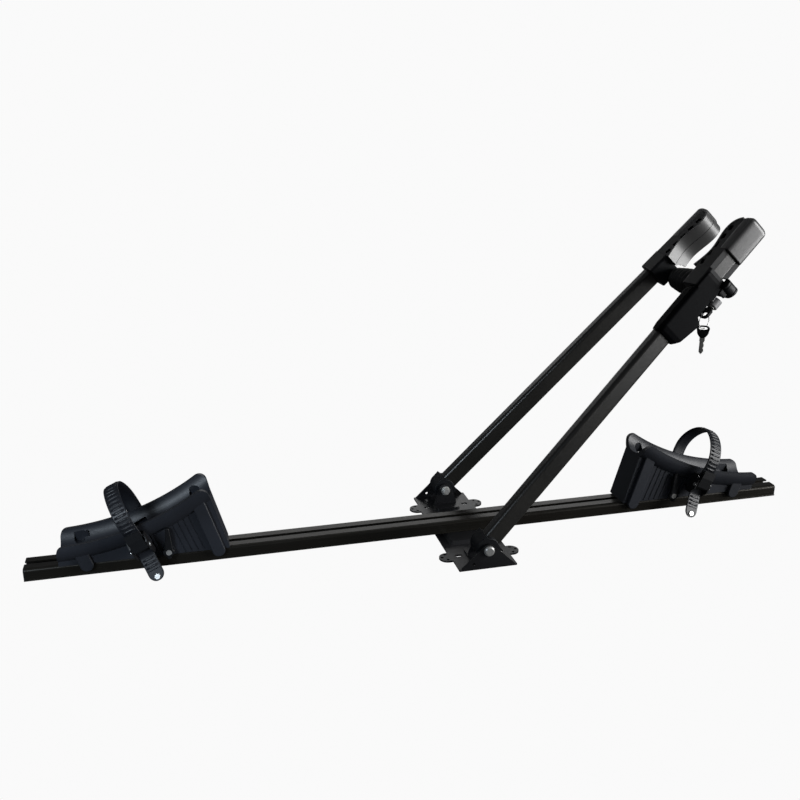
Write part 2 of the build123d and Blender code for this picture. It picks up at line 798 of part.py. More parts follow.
key_hole = lock_plane.origin - arm_plane.x_dir * (barrel_proud + run_gap + key_bow_length - key_slot_width * 0.95)
ring_turn = 20.0
spare_turn = 30.0


def make_key_ring():
    """The thin split ring that joins the two keys, hanging from the key in the lock."""
    centre = key_hole - Vector(0, 0, ring_radius)
    plane = Plane(origin=centre, x_dir=(0, 0, 1), z_dir=(-sin(radians(ring_turn)), cos(radians(ring_turn)), 0))
    section = Plane(origin=centre + Vector(0, 0, ring_radius), x_dir=(0, 0, 1),
                    z_dir=(cos(radians(ring_turn)), sin(radians(ring_turn)), 0))
    return revolve(section * Circle(ring_wire), axis=Axis(tuple(centre), tuple(plane.z_dir)))


def make_spare_key():
    """The second key, hanging from the ring with its bow up."""
    hang = key_hole - Vector(0, 0, 2 * ring_radius + ring_seat)
    drop = key_bow_length - key_slot_width * 0.95
    place = Plane(origin=hang - Vector(0, 0, drop),
                  x_dir=(cos(radians(spare_turn)), -sin(radians(spare_turn)), 0),
                  z_dir=(sin(radians(spare_turn)), cos(radians(spare_turn)), 0))
    return place.location * (key_bow() + key_blade(key_blade_length))


# Wheel trays, drawn for the tray on the right and mirrored for the other
wheel_z = rail_bottom + wheel_rise


def arc_height(reach, radius):
    """The height of a circle about the wheel's centre at a place along the rail."""
    return wheel_z - sqrt(radius ** 2 - (wheel_reach - reach) ** 2)


side_view = Plane(origin=(0, 0, 0), x_dir=(1, 0, 0), z_dir=(0, -1, 0))


def tray_envelope(half_width):
    """Everything inside the tray's side outline: slanted inner end, lips on the wheel's arc, square outer end."""
    low = rail_bottom + leg_reach
    inner_x = tray_inner_foot
    for _ in range(8):
        inner_x = tray_inner_foot + tray_end_slope_share * (arc_height(inner_x, lip_radius) - rail_top)
    inner_top = (inner_x, arc_height(inner_x, lip_radius))
    inner_low = (tray_inner_foot - tray_end_slope_share * (rail_top - low), low)
    outer_top = (tray_outer_end, arc_height(tray_outer_end, lip_radius))
    outer_low = (tray_outer_end, low)
    middle = (inner_x + tray_outer_end) / 2
    lips = ThreePointArc(inner_top, (middle, arc_height(middle, lip_radius)), outer_top)
    face = make_face(Wire([Line(inner_low, inner_top), lips, Line(outer_top, outer_low), Line(outer_low, inner_low)]))
    for corner in (inner_top, outer_top):
        vertex = face.vertices().sort_by_distance(Vector(*corner))[0]
        face = fillet(vertex, lip_round)
    return extrude(side_view * face, half_width, both=True)


def wheel_drum(radius, half_width):
    """A drum about the wheel's centre."""
    return y_rod(radius, wheel_reach, wheel_z, -half_width, half_width)


def trough_section():
    """The trough's U section, with depth measured down from the lips."""
    right = tray_half_width
    bulge_y = tray_half_width * 0.92
    base_y = skirt_half_width
    base = -(trough_depth)
    floor = -(trough_depth + trough_wall)
    edges = [
        Line((trough_half_width, 0), (right, 0)),
        Line((right, 0), (right, -lip_edge)),
        ThreePointArc((right, -lip_edge), (bulge_y, base * 0.62), (base_y, base)),
        ThreePointArc((base_y, base), (0, floor), (-base_y, base)),
        ThreePointArc((-base_y, base), (-bulge_y, base * 0.62), (-right, -lip_edge)),
        Line((-right, -lip_edge), (-right, 0)),
        Line((-right, 0), (-trough_half_width, 0)),
        ThreePointArc((-trough_half_width, 0), (0, -trough_depth), (trough_half_width, 0)),
    ]
    return make_face(Wire(edges))


def make_trough():
    """The trough, its section carried round the wheel's centre."""
    plane = Plane(origin=(wheel_reach, 0, wheel_z - lip_radius), x_dir=(0, 1, 0), z_dir=(1, 0, 0))
    axis = Axis((wheel_reach, 0, wheel_z), (0, 1, 0))
    start = degrees(asin((wheel_reach - tray_outer_end) / lip_radius)) - 1
    sweep = degrees(asin((wheel_reach - tray_inner_foot) / lip_radius)) - start + 3
    section = (plane * trough_section()).rotate(axis, start)
    return revolve(section, axis=axis, revolution_arc=sweep)


def leg_shape(low_x, high_x, top_z, low_z):
    """A slanted leg with a round foot, in X and Z."""
    half = leg_width / 2
    tilt = degrees(asin((high_x - low_x) / sqrt((high_x - low_x) ** 2 + (top_z - low_z) ** 2)))
    length = sqrt((high_x - low_x) ** 2 + (top_z - low_z - half) ** 2)
    bar = Pos(0, length / 2) * Rectangle(leg_width, length) + Circle(half)
    return Pos(low_x, low_z + half) * Rot(0, 0, -tilt) * bar


def make_legs():
    legs = None
    low = rail_bottom + leg_reach
    for low_x, high_x, top in ((tall_leg_low, tall_leg_high, tall_leg_top), (small_leg_low, small_leg_high, small_leg_top)):
        shape = leg_shape(low_x, high_x, rail_bottom + top, low)
        for side in (-1, 1):
            inner = rail_width / 2 + rail_bead + leg_gap
            slab = extrude(side_view.offset(-side * inner) * shape, -side * (leg_out - inner))
            slab = fillet(slab.faces().sort_by(Axis.Y)[0 if side < 0 else -1].edges(), trough_wall / 2)
            legs = slab if legs is None else legs + slab
    return legs


def make_pedestal():
    """The hollow pedestal between the trough and the rail."""
    low = rail_top + slot_clearance
    outer = block((tray_inner_foot - leg_width, -skirt_half_width, low),
                  (tray_outer_end, skirt_half_width, wheel_z - lip_radius / 2))
    outer -= wheel_drum(lip_radius + trough_depth - overrun / 2, tray_half_width)
    run = tray_end_slope_share
    high = wheel_z - lip_radius / 2
    hollow = make_face(Polyline(
        (tray_inner_foot + trough_wall, low - overrun), (tray_outer_end - trough_wall, low - overrun),
        (tray_outer_end - trough_wall, high), (tray_inner_foot + trough_wall + run * (high - low + overrun), high),
        close=True))
    room = extrude(side_view * hollow, skirt_half_width - skirt_wall, both=True)
    room -= wheel_drum(lip_radius + trough_depth + trough_wall - overrun / 4, tray_half_width)
    return outer, room


def strap_point(y, rise):
    """A point of the strap's tilted plane."""
    return Vector(strap_at + rise * sin(radians(strap_tilt)), y, rail_bottom + strap_rise + rise * cos(radians(strap_tilt)))


strap_up = Vector(sin(radians(strap_tilt)), 0, cos(radians(strap_tilt)))
strap_across = Vector(cos(radians(strap_tilt)), 0, -sin(radians(strap_tilt)))
strap_plane = Plane(origin=strap_point(0, 0), x_dir=(0, 1, 0), z_dir=strap_across)
buckle_plane = Plane(
    origin=(strap_at, -buckle_seat, rail_bottom + strap_rise),
    x_dir=(cos(radians(strap_tilt)), 0, -sin(radians(strap_tilt))), z_dir=(0, -1, 0))
anchor_y = tray_half_width + anchor_pin_radius + anchor_eye_wall + run_gap


def anchor_bar(radius, half):
    """A bar along the strap's width at the far anchor."""
    plane = Plane(origin=strap_point(anchor_y, anchor_drop), x_dir=(0, 1, 0), z_dir=strap_across)
    return extrude(plane * Circle(radius), half, both=True)


def make_anchor_ears():
    """The two ears outside the far wall that hold the strap's pin."""
    ears = None
    half = strap_width / 2 + run_gap
    for side in (-1, 1):
        plane = Plane(origin=strap_point(anchor_y, anchor_drop) + strap_across * side * half, x_dir=(0, 1, 0),
                      z_dir=strap_across * side)
        inward = anchor_y - skirt_half_width
        outline = Circle(anchor_pin_radius + anchor_eye_wall)
        outline += Pos(-inward / 2, 0) * Rectangle(inward, 2 * (anchor_pin_radius + anchor_eye_wall))
        ear = extrude(plane * outline, anchor_ear_thick)
        ears = ear if ears is None else ears + ear
    return ears - anchor_bar(anchor_pin_radius, strap_width)


def make_tray():
    envelope = tray_envelope(tray_half_width + overrun)
    pedestal, room = make_pedestal()
    moulding = ((make_trough() + pedestal + make_legs()) & envelope) - room
    hub = y_rod(clamp_hub_radius, clamp_at, rail_bottom + clamp_rise, -skirt_half_width - clamp_stand, skirt_half_width)
    moulding += hub - block((clamp_at - 2 * clamp_hub_radius, -skirt_half_width + skirt_wall, rail_bottom),
                            (clamp_at + 2 * clamp_hub_radius, skirt_half_width - skirt_wall, wheel_z)) - block(
        (clamp_at - 2 * clamp_hub_radius, -tray_half_width, rail_bottom),
        (clamp_at + 2 * clamp_hub_radius, tray_half_width, rail_top + slot_clearance))
    moulding += buckle_boss()
    moulding += make_anchor_ears()
    moulding += make_fin()
    for x, z in ((tall_leg_high, tall_leg_top), (small_leg_high, small_leg_top)):
        outline = RectangleRounded(hole_width, hole_height, hole_width * 0.42)
        for side in (-1, 1):
            start = side_view.offset(-side * (trough_half_width / 2))
            mould = extrude(start * Pos(x, rail_bottom + z - hole_height / 6) * outline,
                            -side * (leg_out - trough_wall / 2 - trough_half_width / 2))
            moulding -= mould
    slot = RectangleRounded(strap_width - overrun, hole_height * 0.7, trough_wall / 2)
    far_slot = extrude(side_view.offset(-trough_half_width / 2) * Pos(strap_at, strap_point(0, anchor_drop).Z)
                       * Rot(0, 0, -strap_tilt) * slot, -tray_half_width)
    moulding -= far_slot
    for index in range(groove_count):
        x = groove_first + index * groove_pitch
        if abs(x - clamp_at) < clamp_hub_radius + groove_width or abs(x - strap_at) < strap_width:
            continue
        height = arc_height(x, lip_radius + trough_depth) - rail_top - trough_wall
        bar = Pos(x, rail_top + height / 2) * Rot(0, 0, -groove_slant) * Rectangle(groove_width, height)
        for side in (-1, 1):
            moulding -= extrude(side_view.offset(-side * (skirt_half_width - groove_depth)) * bar, -side * overrun)
    bore = y_rod(clamp_shaft_radius + pivot_clearance, clamp_at, rail_bottom + clamp_rise,
                 -tray_half_width, tray_half_width)
    moulding -= bore
    return moulding


def buckle_boss():
    """The raised seat for the buckle on the near side."""
    depth = buckle_seat - buckle_gap - skirt_half_width + skirt_wall / 2
    outline = RectangleRounded(strap_width + 2 * buckle_wall, buckle_length * 0.6, trough_wall)
    return extrude(buckle_plane.offset(-buckle_gap) * outline, -depth)


def make_fin():
    """The thin guard rib beside the buckle."""
    outline = Pos(fin_at, rail_top + fin_length / 2 + slot_clearance) * Rot(0, 0, -strap_tilt * 0.8)\
        * RectangleRounded(fin_thick, fin_length, fin_thick / 2.2)
    bar = extrude(side_view.offset(skirt_half_width - skirt_wall / 2) * outline,
                  fin_out - skirt_half_width + skirt_wall / 2)
    return bar - block((0, -tray_half_width, 0), (tray_outer_end, tray_half_width, rail_top + slot_clearance))


def strap_path_face(thick_in, thick_out):
    """The loop band between the far anchor and the buckle, as a face in the strap's plane."""
    half = (loop_near + loop_far) / 2
    middle_y = (loop_far - loop_near) / 2
    wires = []
    for offset in (-thick_in, thick_out):
        near_low = (-loop_near - offset, 0)
        near_mid = (-loop_near - loop_bulge - offset, loop_shoulder)
        crest = (middle_y, loop_top + offset)
        far_mid = (loop_far + loop_bulge + offset, loop_shoulder)
        far_low = (anchor_y + anchor_pin_radius + offset, anchor_drop)
        wires.append(Spline(near_low, near_mid, crest, far_mid, far_low, tangents=[(0, 1), (0, -1)]))
    inner, outer = wires
    start = Line(inner @ 0, outer @ 0)
    end = Line(inner @ 1, outer @ 1)
    return make_face(Wire([inner, end, outer, start]))


def make_strap():
    """The ladder strap: eye on the far pin, loop over the wheel, and the tail below the buckle."""
    band = extrude(strap_plane * strap_path_face(0, strap_thick), strap_width / 2, both=True)
    eye = anchor_bar(anchor_pin_radius + strap_thick, strap_width / 2)
    tail_plane = Plane(origin=buckle_plane.origin, x_dir=(0, -1, 0), z_dir=-buckle_plane.x_dir)
    gap = loop_near - buckle_seat
    lean = tail_lean
    run = buckle_length / 2
    low = (gap + (tail_length + tail_tip) * sin(radians(lean)), -run - (tail_length + tail_tip) * cos(radians(lean)))
    points = [(gap, strap_thick), (gap, -run), low,
              (low[0] + strap_thick, low[1]), (gap + strap_thick, -run), (gap + strap_thick, strap_thick)]
    tail = extrude(tail_plane * make_face(Polyline(*points, close=True)), strap_width / 2, both=True)
    return band + eye + tail - anchor_bar(anchor_pin_radius + pivot_clearance, strap_width)


def make_anchor_pin():
    return anchor_bar(anchor_pin_radius - pivot_clearance, strap_width / 2 + anchor_ear_thick)


def buckle_bar(radius, up, out, half):
    """A bar across the buckle."""
    centre = buckle_plane.from_local_coords(Vector(0, up, out))
    plane = Plane(origin=centre, x_dir=(0, -1, 0), z_dir=buckle_plane.x_dir)
    return extrude(plane * Circle(radius), half, both=True)


buckle_half = strap_width / 2 + buckle_gap + buckle_wall
buckle_pin_out = loop_near - buckle_seat + strap_thick + buckle_pin_radius + pawl_thick + 2 * run_gap


def make_buckle_frame():
    """The pressed buckle: a base and two six-sided cheeks."""
    base = extrude(buckle_plane * RectangleRounded(2 * buckle_half, buckle_length, buckle_wall), buckle_wall)
    frame = base
    tall = buckle_pin_out + 2 * buckle_pin_radius
    half = buckle_length / 2
    for side in (-1, 1):
        plane = Plane(origin=buckle_plane.from_local_coords(Vector(side * buckle_half, 0, 0)), x_dir=(0, -1, 0),
                      z_dir=buckle_plane.x_dir * -side)
        turn = -side
        points = [(0, -half), (tall * 0.55, -half), (tall, -half * 0.4), (tall, half * 0.4), (tall * 0.55, half), (0, half)]
        cheek = make_face(Polyline(*[(x, -y * turn) for x, y in points], close=True))
        frame += extrude(plane * cheek, buckle_wall)
    pin = buckle_bar(buckle_pin_radius + pivot_clearance, 0, buckle_pin_out, strap_width)
    return frame - pin


def make_buckle_pin():
    bar = buckle_bar(buckle_pin_radius, 0, buckle_pin_out, buckle_half)
    heads = buckle_bar(buckle_pin_radius * 1.6, 0, buckle_pin_out, buckle_half + buckle_wall / 2)
    heads -= buckle_bar(buckle_pin_radius * 2, 0, buckle_pin_out, buckle_half)
    return bar + heads


def make_pawl_lever():
    """The ratchet lever over the strap, turning on the buckle's pin, with its tooth below."""
    half = strap_width / 2 - buckle_gap / 2
    side = Plane(origin=buckle_plane.origin, x_dir=(0, -1, 0), z_dir=-buckle_plane.x_dir)
    out = buckle_pin_out
    hub = Pos(out, 0) * Circle(buckle_pin_radius + pawl_thick)
    tongue = make_face(Polyline(
        (out + buckle_pin_radius, 0), (out + buckle_pin_radius + pawl_thick, 0),
        (out + pawl_thick * 2.4, pawl_length * 0.55), (out + pawl_thick * 2.1, pawl_length),
        (out + pawl_thick * 1.2, pawl_length), (out + pawl_thick * 1.4, pawl_length * 0.55), close=True))
    tooth = make_face(Polyline(
        (out - buckle_pin_radius, 0), (out + pawl_thick, buckle_pin_radius),
        (out - buckle_pin_radius, pawl_length * 0.32), (out - buckle_pin_radius - pawl_thick * 0.6, pawl_length * 0.3),
        close=True))
    lever = extrude(side * (hub + tongue + tooth), half, both=True)
    return lever - buckle_bar(buckle_pin_radius + pivot_clearance, 0, out, strap_width)


def make_stop_rivet():
    """The round rivet at the strap's tip."""
    lean = radians(tail_lean)
    run = buckle_length / 2
    along = tail_length + tail_tip * 0.35
    gap = loop_near - buckle_seat + strap_thick / cos(lean)
    foot = buckle_plane.from_local_coords(Vector(0, -run - along * cos(lean), gap + along * sin(lean)))
    up = buckle_plane.y_dir
    out_dir = buckle_plane.z_dir * cos(lean) + up * sin(lean)
    place = Plane(origin=foot, x_dir=buckle_plane.x_dir, z_dir=out_dir)
    return extrude(place * Circle(rivet_radius), rivet_height, taper=platform_draft / 3)


# Tray clamp
clamp_z = rail_bottom + clamp_rise
clamp_face = skirt_half_width + clamp_stand + clamp_hub_seat


def make_clamp_lever():
    """The hand lever outside the skirt: diamond hub, long tapered blade and a short nub."""
    hub = Circle(clamp_hub_radius) & (Rot(0, 0, 45) * Rectangle(1.7 * clamp_hub_radius, 1.7 * clamp_hub_radius))
    blade = make_face(Polyline(
        (-clamp_hub_radius * 0.75, 0), (-clamp_tip_radius, clamp_lever_length - clamp_tip_radius),
        (clamp_tip_radius, clamp_lever_length - clamp_tip_radius), (clamp_hub_radius * 0.75, 0), close=True))
    tip = Pos(0, clamp_lever_length - clamp_tip_radius) * Circle(clamp_tip_radius)
    nub = Pos(0, -clamp_nub / 2) * RectangleRounded(2 * clamp_tip_radius, clamp_nub * 1.3, clamp_tip_radius * 0.9)
    place = Plane(origin=(clamp_at, -clamp_face, clamp_z), x_dir=(1, 0, 0), z_dir=(0, -1, 0))
    lever = extrude(place * (hub + blade + tip + nub), clamp_lever_thick)
    lever = chamfer(lever.faces().sort_by(Axis.Y)[0].edges(), clamp_lever_thick / 6)
    return lever - y_rod(clamp_shaft_radius - pivot_clearance, clamp_at, clamp_z, -2 * clamp_face, 0)


def make_cam_shaft():
    """The eccentric shaft under the trough, with the offset journal in the bolt's eye."""
    ends = y_rod(clamp_shaft_radius - pivot_clearance, clamp_at, clamp_z, -clamp_face - clamp_lever_thick, skirt_half_width)
    journal = y_rod(clamp_shaft_radius, clamp_at, clamp_z + clamp_throw, -bolt_shank / 2 - run_gap,
                    bolt_shank / 2 + run_gap)
    return ends + journal


def make_tray_bolt():
    """The bolt whose eye rides on the eccentric and whose head runs in the rail's chamber."""
    eye_bore = clamp_shaft_radius + clamp_throw + run_gap
    eye = y_rod(eye_bore + bolt_eye_wall, clamp_at, clamp_z, -bolt_shank / 2, bolt_shank / 2)
    head_top = rail_top - lip_thick - slot_clearance
    shank = block((clamp_at - bolt_shank / 2, -bolt_shank / 2, head_top - bolt_head_thick / 2),
                  (clamp_at + bolt_shank / 2, bolt_shank / 2, clamp_z - eye_bore))
    head = block((clamp_at - bolt_head_length / 2, -bolt_head_width / 2, head_top - bolt_head_thick),
                 (clamp_at + bolt_head_length / 2, bolt_head_width / 2, head_top))
    bolt = eye + shank + head
    return bolt - y_rod(eye_bore, clamp_at, clamp_z, -bolt_shank, bolt_shank)


# Finishes
black_plastic = (0.05, 0.05, 0.055)
black_metal = (0.07, 0.07, 0.07)
rubber = (0.03, 0.03, 0.03)
zinc = (0.7, 0.7, 0.72)
grey_plastic = (0.3, 0.3, 0.31)


def build_carrier():
    """Every piece of the carrier by name, with its colour."""
    pieces = {
        "rail": (make_rail(), black_metal),
        "rail_cap_left": (make_end_cap(-1), black_plastic),
        "rail_cap_right": (make_end_cap(1), black_plastic),
        "base_plate": (make_base_plate(), black_metal),
        "rail_screws": (make_rail_screws(), zinc),
        "rail_nuts": (make_rail_nuts(), zinc),
    }
    mirrored = {
        "inner_bracket": (make_inner_bracket(), black_metal),
        "pivot_bolt": (make_pivot_bolt(), zinc),
        "pivot_nut": (make_pivot_nut(), zinc),
        "arm_tube": (make_tube(), black_metal),
        "jaw_core": (make_jaw_core(), black_plastic),
        "jaw_pad": (make_jaw_pad(), rubber),
        "jaw_shell": (make_jaw_shell(), black_plastic),
    }
    for name, (solid, colour) in mirrored.items():
        pieces["near_" + name] = (solid, colour)
        pieces["far_" + name] = (far_side(solid), colour)
    collar = make_collar()
    pieces["near_collar"] = (make_near_collar(collar), black_plastic)
    pieces["far_collar"] = (far_side(collar) + make_far_boss(), black_plastic)
    pieces["near_arm_foot"] = (make_arm_foot(swing_clearance), black_plastic)
    pieces["far_arm_foot"] = (far_side(make_arm_foot(pivot_clearance)), black_plastic)
    pieces["clamp_rod"] = (make_rod(), zinc)
    pieces["rod_stop"] = (make_rod_stop(), zinc)
    pieces["anchor_plate"] = (make_anchor_plate(), zinc)
    pieces["bellows"] = (make_bellows(), rubber)
    pieces["cam_lever"] = (make_cam_lever(), black_plastic)
    pieces["cam_pin"] = (make_cam_pin(), zinc)
    pieces["lock_housing"] = (make_lock_housing(), grey_plastic)
    pieces["lock_barrel"] = (make_lock_barrel(), zinc)
    pieces["lock_key"] = (make_key(), black_plastic)
    pieces["key_ring"] = (make_key_ring(), zinc)
    pieces["spare_key"] = (make_spare_key(), black_plastic)
    tray_pieces = {
        "tray": (make_tray(), black_plastic),
        "strap": (make_strap(), black_plastic),
        "strap_anchor_pin": (make_anchor_pin(), zinc),
        "buckle_frame": (make_buckle_frame(), black_metal),
        "buckle_pin": (make_buckle_pin(), zinc),
        "pawl_lever": (make_pawl_lever(), black_plastic),
        "stop_rivet": (make_stop_rivet(), zinc),
        "clamp_lever": (make_clamp_lever(), black_plastic),
        "cam_shaft": (make_cam_shaft(), zinc),
        "tray_bolt": (make_tray_bolt(), zinc),
    }
    for name, (solid, colour) in tray_pieces.items():
        pieces["right_" + name] = (Pos(rail_middle_x, 0, 0) * solid, colour)
        pieces["left_" + name] = (Pos(rail_middle_x, 0, 0) * mirror(solid, about=Plane.YZ), colour)
    return pieces


os.makedirs("parts", exist_ok=True)
for piece_name, (piece_solid, piece_colour) in build_carrier().items():
    export(piece_solid, piece_name, piece_colour)
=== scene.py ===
"""Roof mounted bike carrier: finishes, moulded covers, lever, key, bellows, ladder straps and the studio."""

import json
import logging
import math
from dataclasses import dataclass, field
from enum import Enum

import bpy
import numpy as np
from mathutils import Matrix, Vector


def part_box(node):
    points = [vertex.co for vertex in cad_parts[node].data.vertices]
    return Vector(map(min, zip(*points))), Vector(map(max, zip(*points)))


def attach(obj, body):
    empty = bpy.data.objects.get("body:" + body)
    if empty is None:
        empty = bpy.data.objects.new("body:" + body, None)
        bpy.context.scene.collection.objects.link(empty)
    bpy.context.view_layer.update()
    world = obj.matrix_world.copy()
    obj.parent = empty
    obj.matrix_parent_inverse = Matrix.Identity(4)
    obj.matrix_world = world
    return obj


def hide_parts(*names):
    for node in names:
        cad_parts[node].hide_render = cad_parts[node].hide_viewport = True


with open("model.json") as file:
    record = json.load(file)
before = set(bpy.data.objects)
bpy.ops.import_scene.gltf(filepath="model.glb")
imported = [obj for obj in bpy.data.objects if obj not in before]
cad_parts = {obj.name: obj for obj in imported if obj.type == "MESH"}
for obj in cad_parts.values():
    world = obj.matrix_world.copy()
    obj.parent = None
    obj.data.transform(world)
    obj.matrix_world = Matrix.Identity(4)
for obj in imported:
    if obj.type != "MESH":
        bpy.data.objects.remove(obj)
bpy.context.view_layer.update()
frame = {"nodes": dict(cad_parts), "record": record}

MM = 0.001

# The trays stand alike on both sides of TRAY_MIDDLE; each strap's foot is STRAP_REACH from it, STRAP_FOOT
# high, and the strap leans outwards by STRAP_TILT.
TRAY_MIDDLE = -52.0
STRAP_REACH = 476.0
STRAP_FOOT = 58.0
STRAP_TILT = math.radians(25)

# The near arm rises by ARM_TILT and leans in by ARM_LEAN; X runs along it, Y across it and Z outwards.
ARM_TILT = math.radians(46.4)
ARM_LEAN = math.radians(4.8)
ARM_X = np.array([math.cos(ARM_TILT) * math.cos(ARM_LEAN), math.sin(ARM_LEAN),
                  math.sin(ARM_TILT) * math.cos(ARM_LEAN)])
ARM_Z = np.array([math.sin(ARM_LEAN) * math.cos(ARM_TILT), -math.cos(ARM_LEAN),
                  math.sin(ARM_LEAN) * math.sin(ARM_TILT)])
ARM_Y = np.cross(ARM_Z, ARM_X)
ARM_ORIGIN = np.array([0.0, -119.0, 31.0])

# The white behind the carrier.
PAPER_WHITE = (0.955, 0.955, 0.955, 1)

logging.basicConfig(level=logging.INFO, format="%(message)s")
log = logging.getLogger("carrier")


class Side(Enum):
    """The two ends of the rail."""

    RIGHT = 1
    LEFT = -1


@dataclass(frozen=True)
class Finish:
    """One surface finish.

    Args:
        slot: The finish's name.
        dark: Linear colour in the hollows of the grain.
        light: Linear colour on the grain's high spots.
        rough: Lowest and highest roughness.
        metallic: 0 for plastics and rubbers, 1 for bare metal.
        grain: Grain cells per metre.
        bump: Grain depth in metres.
        specular: Specular level of the base layer.
        coat: Weight of the clear layer.
        stretch: Grain stretch along X, Y and Z, for drawn or brushed metal.
    """

    slot: str
    dark: tuple
    light: tuple
    rough: tuple
    metallic: float
    grain: float
    bump: float
    specular: float = 0.5
    coat: float = 0.0
    stretch: tuple = (1.0, 1.0, 1.0)


FINISHES = (
    Finish("rail_aluminium", (0.016, 0.0145, 0.012), (0.026, 0.024, 0.020), (0.24, 0.36), 0.6, 900, 0.00002,
           stretch=(0.02, 1, 1)),
    Finish("coated_steel", (0.008, 0.008, 0.009), (0.015, 0.015, 0.0165), (0.28, 0.38), 0.0, 700, 0.00001),
    Finish("arm_steel", (0.008, 0.008, 0.0075), (0.015, 0.0145, 0.013), (0.30, 0.36), 0.0, 260, 0.000002,
           coat=0.2),
    Finish("zinc", (0.50, 0.50, 0.49), (0.68, 0.68, 0.66), (0.26, 0.40), 0.7, 500, 0.00001),
    Finish("black_plastic", (0.0045, 0.005, 0.006), (0.008, 0.009, 0.011), (0.46, 0.58), 0.0, 900, 0.00002,
           specular=0.22),
    Finish("tray_plastic", (0.013, 0.0148, 0.0195), (0.021, 0.0238, 0.031), (0.38, 0.50), 0.0, 900, 0.00003,
           specular=0.4),
    Finish("strap_plastic", (0.007, 0.008, 0.0105), (0.013, 0.0145, 0.019), (0.36, 0.46), 0.0, 900, 0.00002,
           specular=0.3),
    # grey_plastic is a painted highlight: the part of the lever boss beside the key is the same dark plastic
    # as the lever, coloured light grey where it faces the light.
    Finish("grey_plastic", (0.20, 0.20, 0.21), (0.27, 0.27, 0.28), (0.34, 0.45), 0.0, 1500, 0.00004),
    Finish("matt_plastic", (0.0011, 0.0013, 0.0018), (0.0022, 0.0025, 0.0034), (0.54, 0.66), 0.0, 700,
           0.00002, specular=0.05),
    Finish("soft_rubber", (0.005, 0.005, 0.005), (0.009, 0.009, 0.0095), (0.38, 0.50), 0.0, 1700, 0.00005),
    Finish("pad_rubber", (0.050, 0.050, 0.050), (0.080, 0.080, 0.079), (0.30, 0.42), 0.0, 900, 0.00002),
    Finish("satin_plastic", (0.040, 0.040, 0.041), (0.070, 0.070, 0.069), (0.28, 0.38), 0.0, 900, 0.00002),
)


def make_material(finish: Finish) -> bpy.types.Material:
    """Build the procedural material of a finish.

    Args:
        finish: The finish to build.

    Returns:
        A material whose colour, roughness and grain vary over Object coordinates.
    """
    material = bpy.data.materials.new("finish_" + finish.slot)
    material.use_nodes = True
    tree = material.node_tree
    shader = tree.nodes["Principled BSDF"]
    coords = tree.nodes.new("ShaderNodeTexCoord")
    stretch = tree.nodes.new("ShaderNodeMapping")
    stretch.inputs["Scale"].default_value = finish.stretch
    tree.links.new(coords.outputs["Object"], stretch.inputs["Vector"])

    def noise(scale: float, detail: float) -> bpy.types.Node:
        """A noise texture over the stretched coordinates.

        Args:
            scale: Cells per metre.
            detail: Number of finer layers.

        Returns:
            The texture node.
        """
        node = tree.nodes.new("ShaderNodeTexNoise")
        node.inputs["Scale"].default_value = scale
        node.inputs["Detail"].default_value = detail
        tree.links.new(stretch.outputs["Vector"], node.inputs["Vector"])
        return node

    broad = noise(9.0, 4.0)
    fine = noise(finish.grain, 2.0)
    ramp = tree.nodes.new("ShaderNodeValToRGB")
    ramp.color_ramp.elements[0].position = 0.35
    ramp.color_ramp.elements[1].position = 0.65
    ramp.color_ramp.elements[0].color = (*finish.dark, 1)
    ramp.color_ramp.elements[1].color = (*finish.light, 1)
    tree.links.new(broad.outputs["Fac"], ramp.inputs["Fac"])
    tree.links.new(ramp.outputs["Color"], shader.inputs["Base Color"])
    rough = tree.nodes.new("ShaderNodeMapRange")
    rough.inputs["From Min"].default_value = 0.3
    rough.inputs["From Max"].default_value = 0.7
    rough.inputs["To Min"].default_value = finish.rough[0]
    rough.inputs["To Max"].default_value = finish.rough[1]
    tree.links.new(fine.outputs["Fac"], rough.inputs["Value"])
    tree.links.new(rough.outputs["Result"], shader.inputs["Roughness"])
    bump = tree.nodes.new("ShaderNodeBump")
    bump.inputs["Distance"].default_value = finish.bump
    bump.inputs["Strength"].default_value = 0.6
    tree.links.new(fine.outputs["Fac"], bump.inputs["Height"])
    tree.links.new(bump.outputs["Normal"], shader.inputs["Normal"])
    shader.inputs["Metallic"].default_value = finish.metallic
    shader.inputs["Specular IOR Level"].default_value = finish.specular
    shader.inputs["Coat Weight"].default_value = finish.coat
    shader.inputs["Coat Roughness"].default_value = 0.25
    return material


@dataclass
class Wardrobe:
    """The carrier's materials by slot.

    Args:
        materials: Filled from the finishes.
    """

    materials: dict[str, bpy.types.Material] = field(default_factory=dict)

    def build(self) -> None:
        """Make every material once."""
        for finish in FINISHES:
            self.materials[finish.slot] = make_material(finish)

    def dress(self, obj: bpy.types.Object, slot: str) -> None:
        """Give an object a finish.

        Args:
            obj: The object.
            slot: The finish's name.
        """
        obj.data.materials.clear()
        obj.data.materials.append(self.materials[slot])

    def dress_solids(self) -> int:
        """Give every solid piece the finish of its slot.

        Returns:
            The number of pieces.
        """
        rows = frame["record"]["subparts"]
        for row in rows:
            obj = frame["nodes"][row["node"]]
            obj.data.materials.clear()
            obj.data.materials.append(self.materials[row["material_slot"]])
        return len(rows)


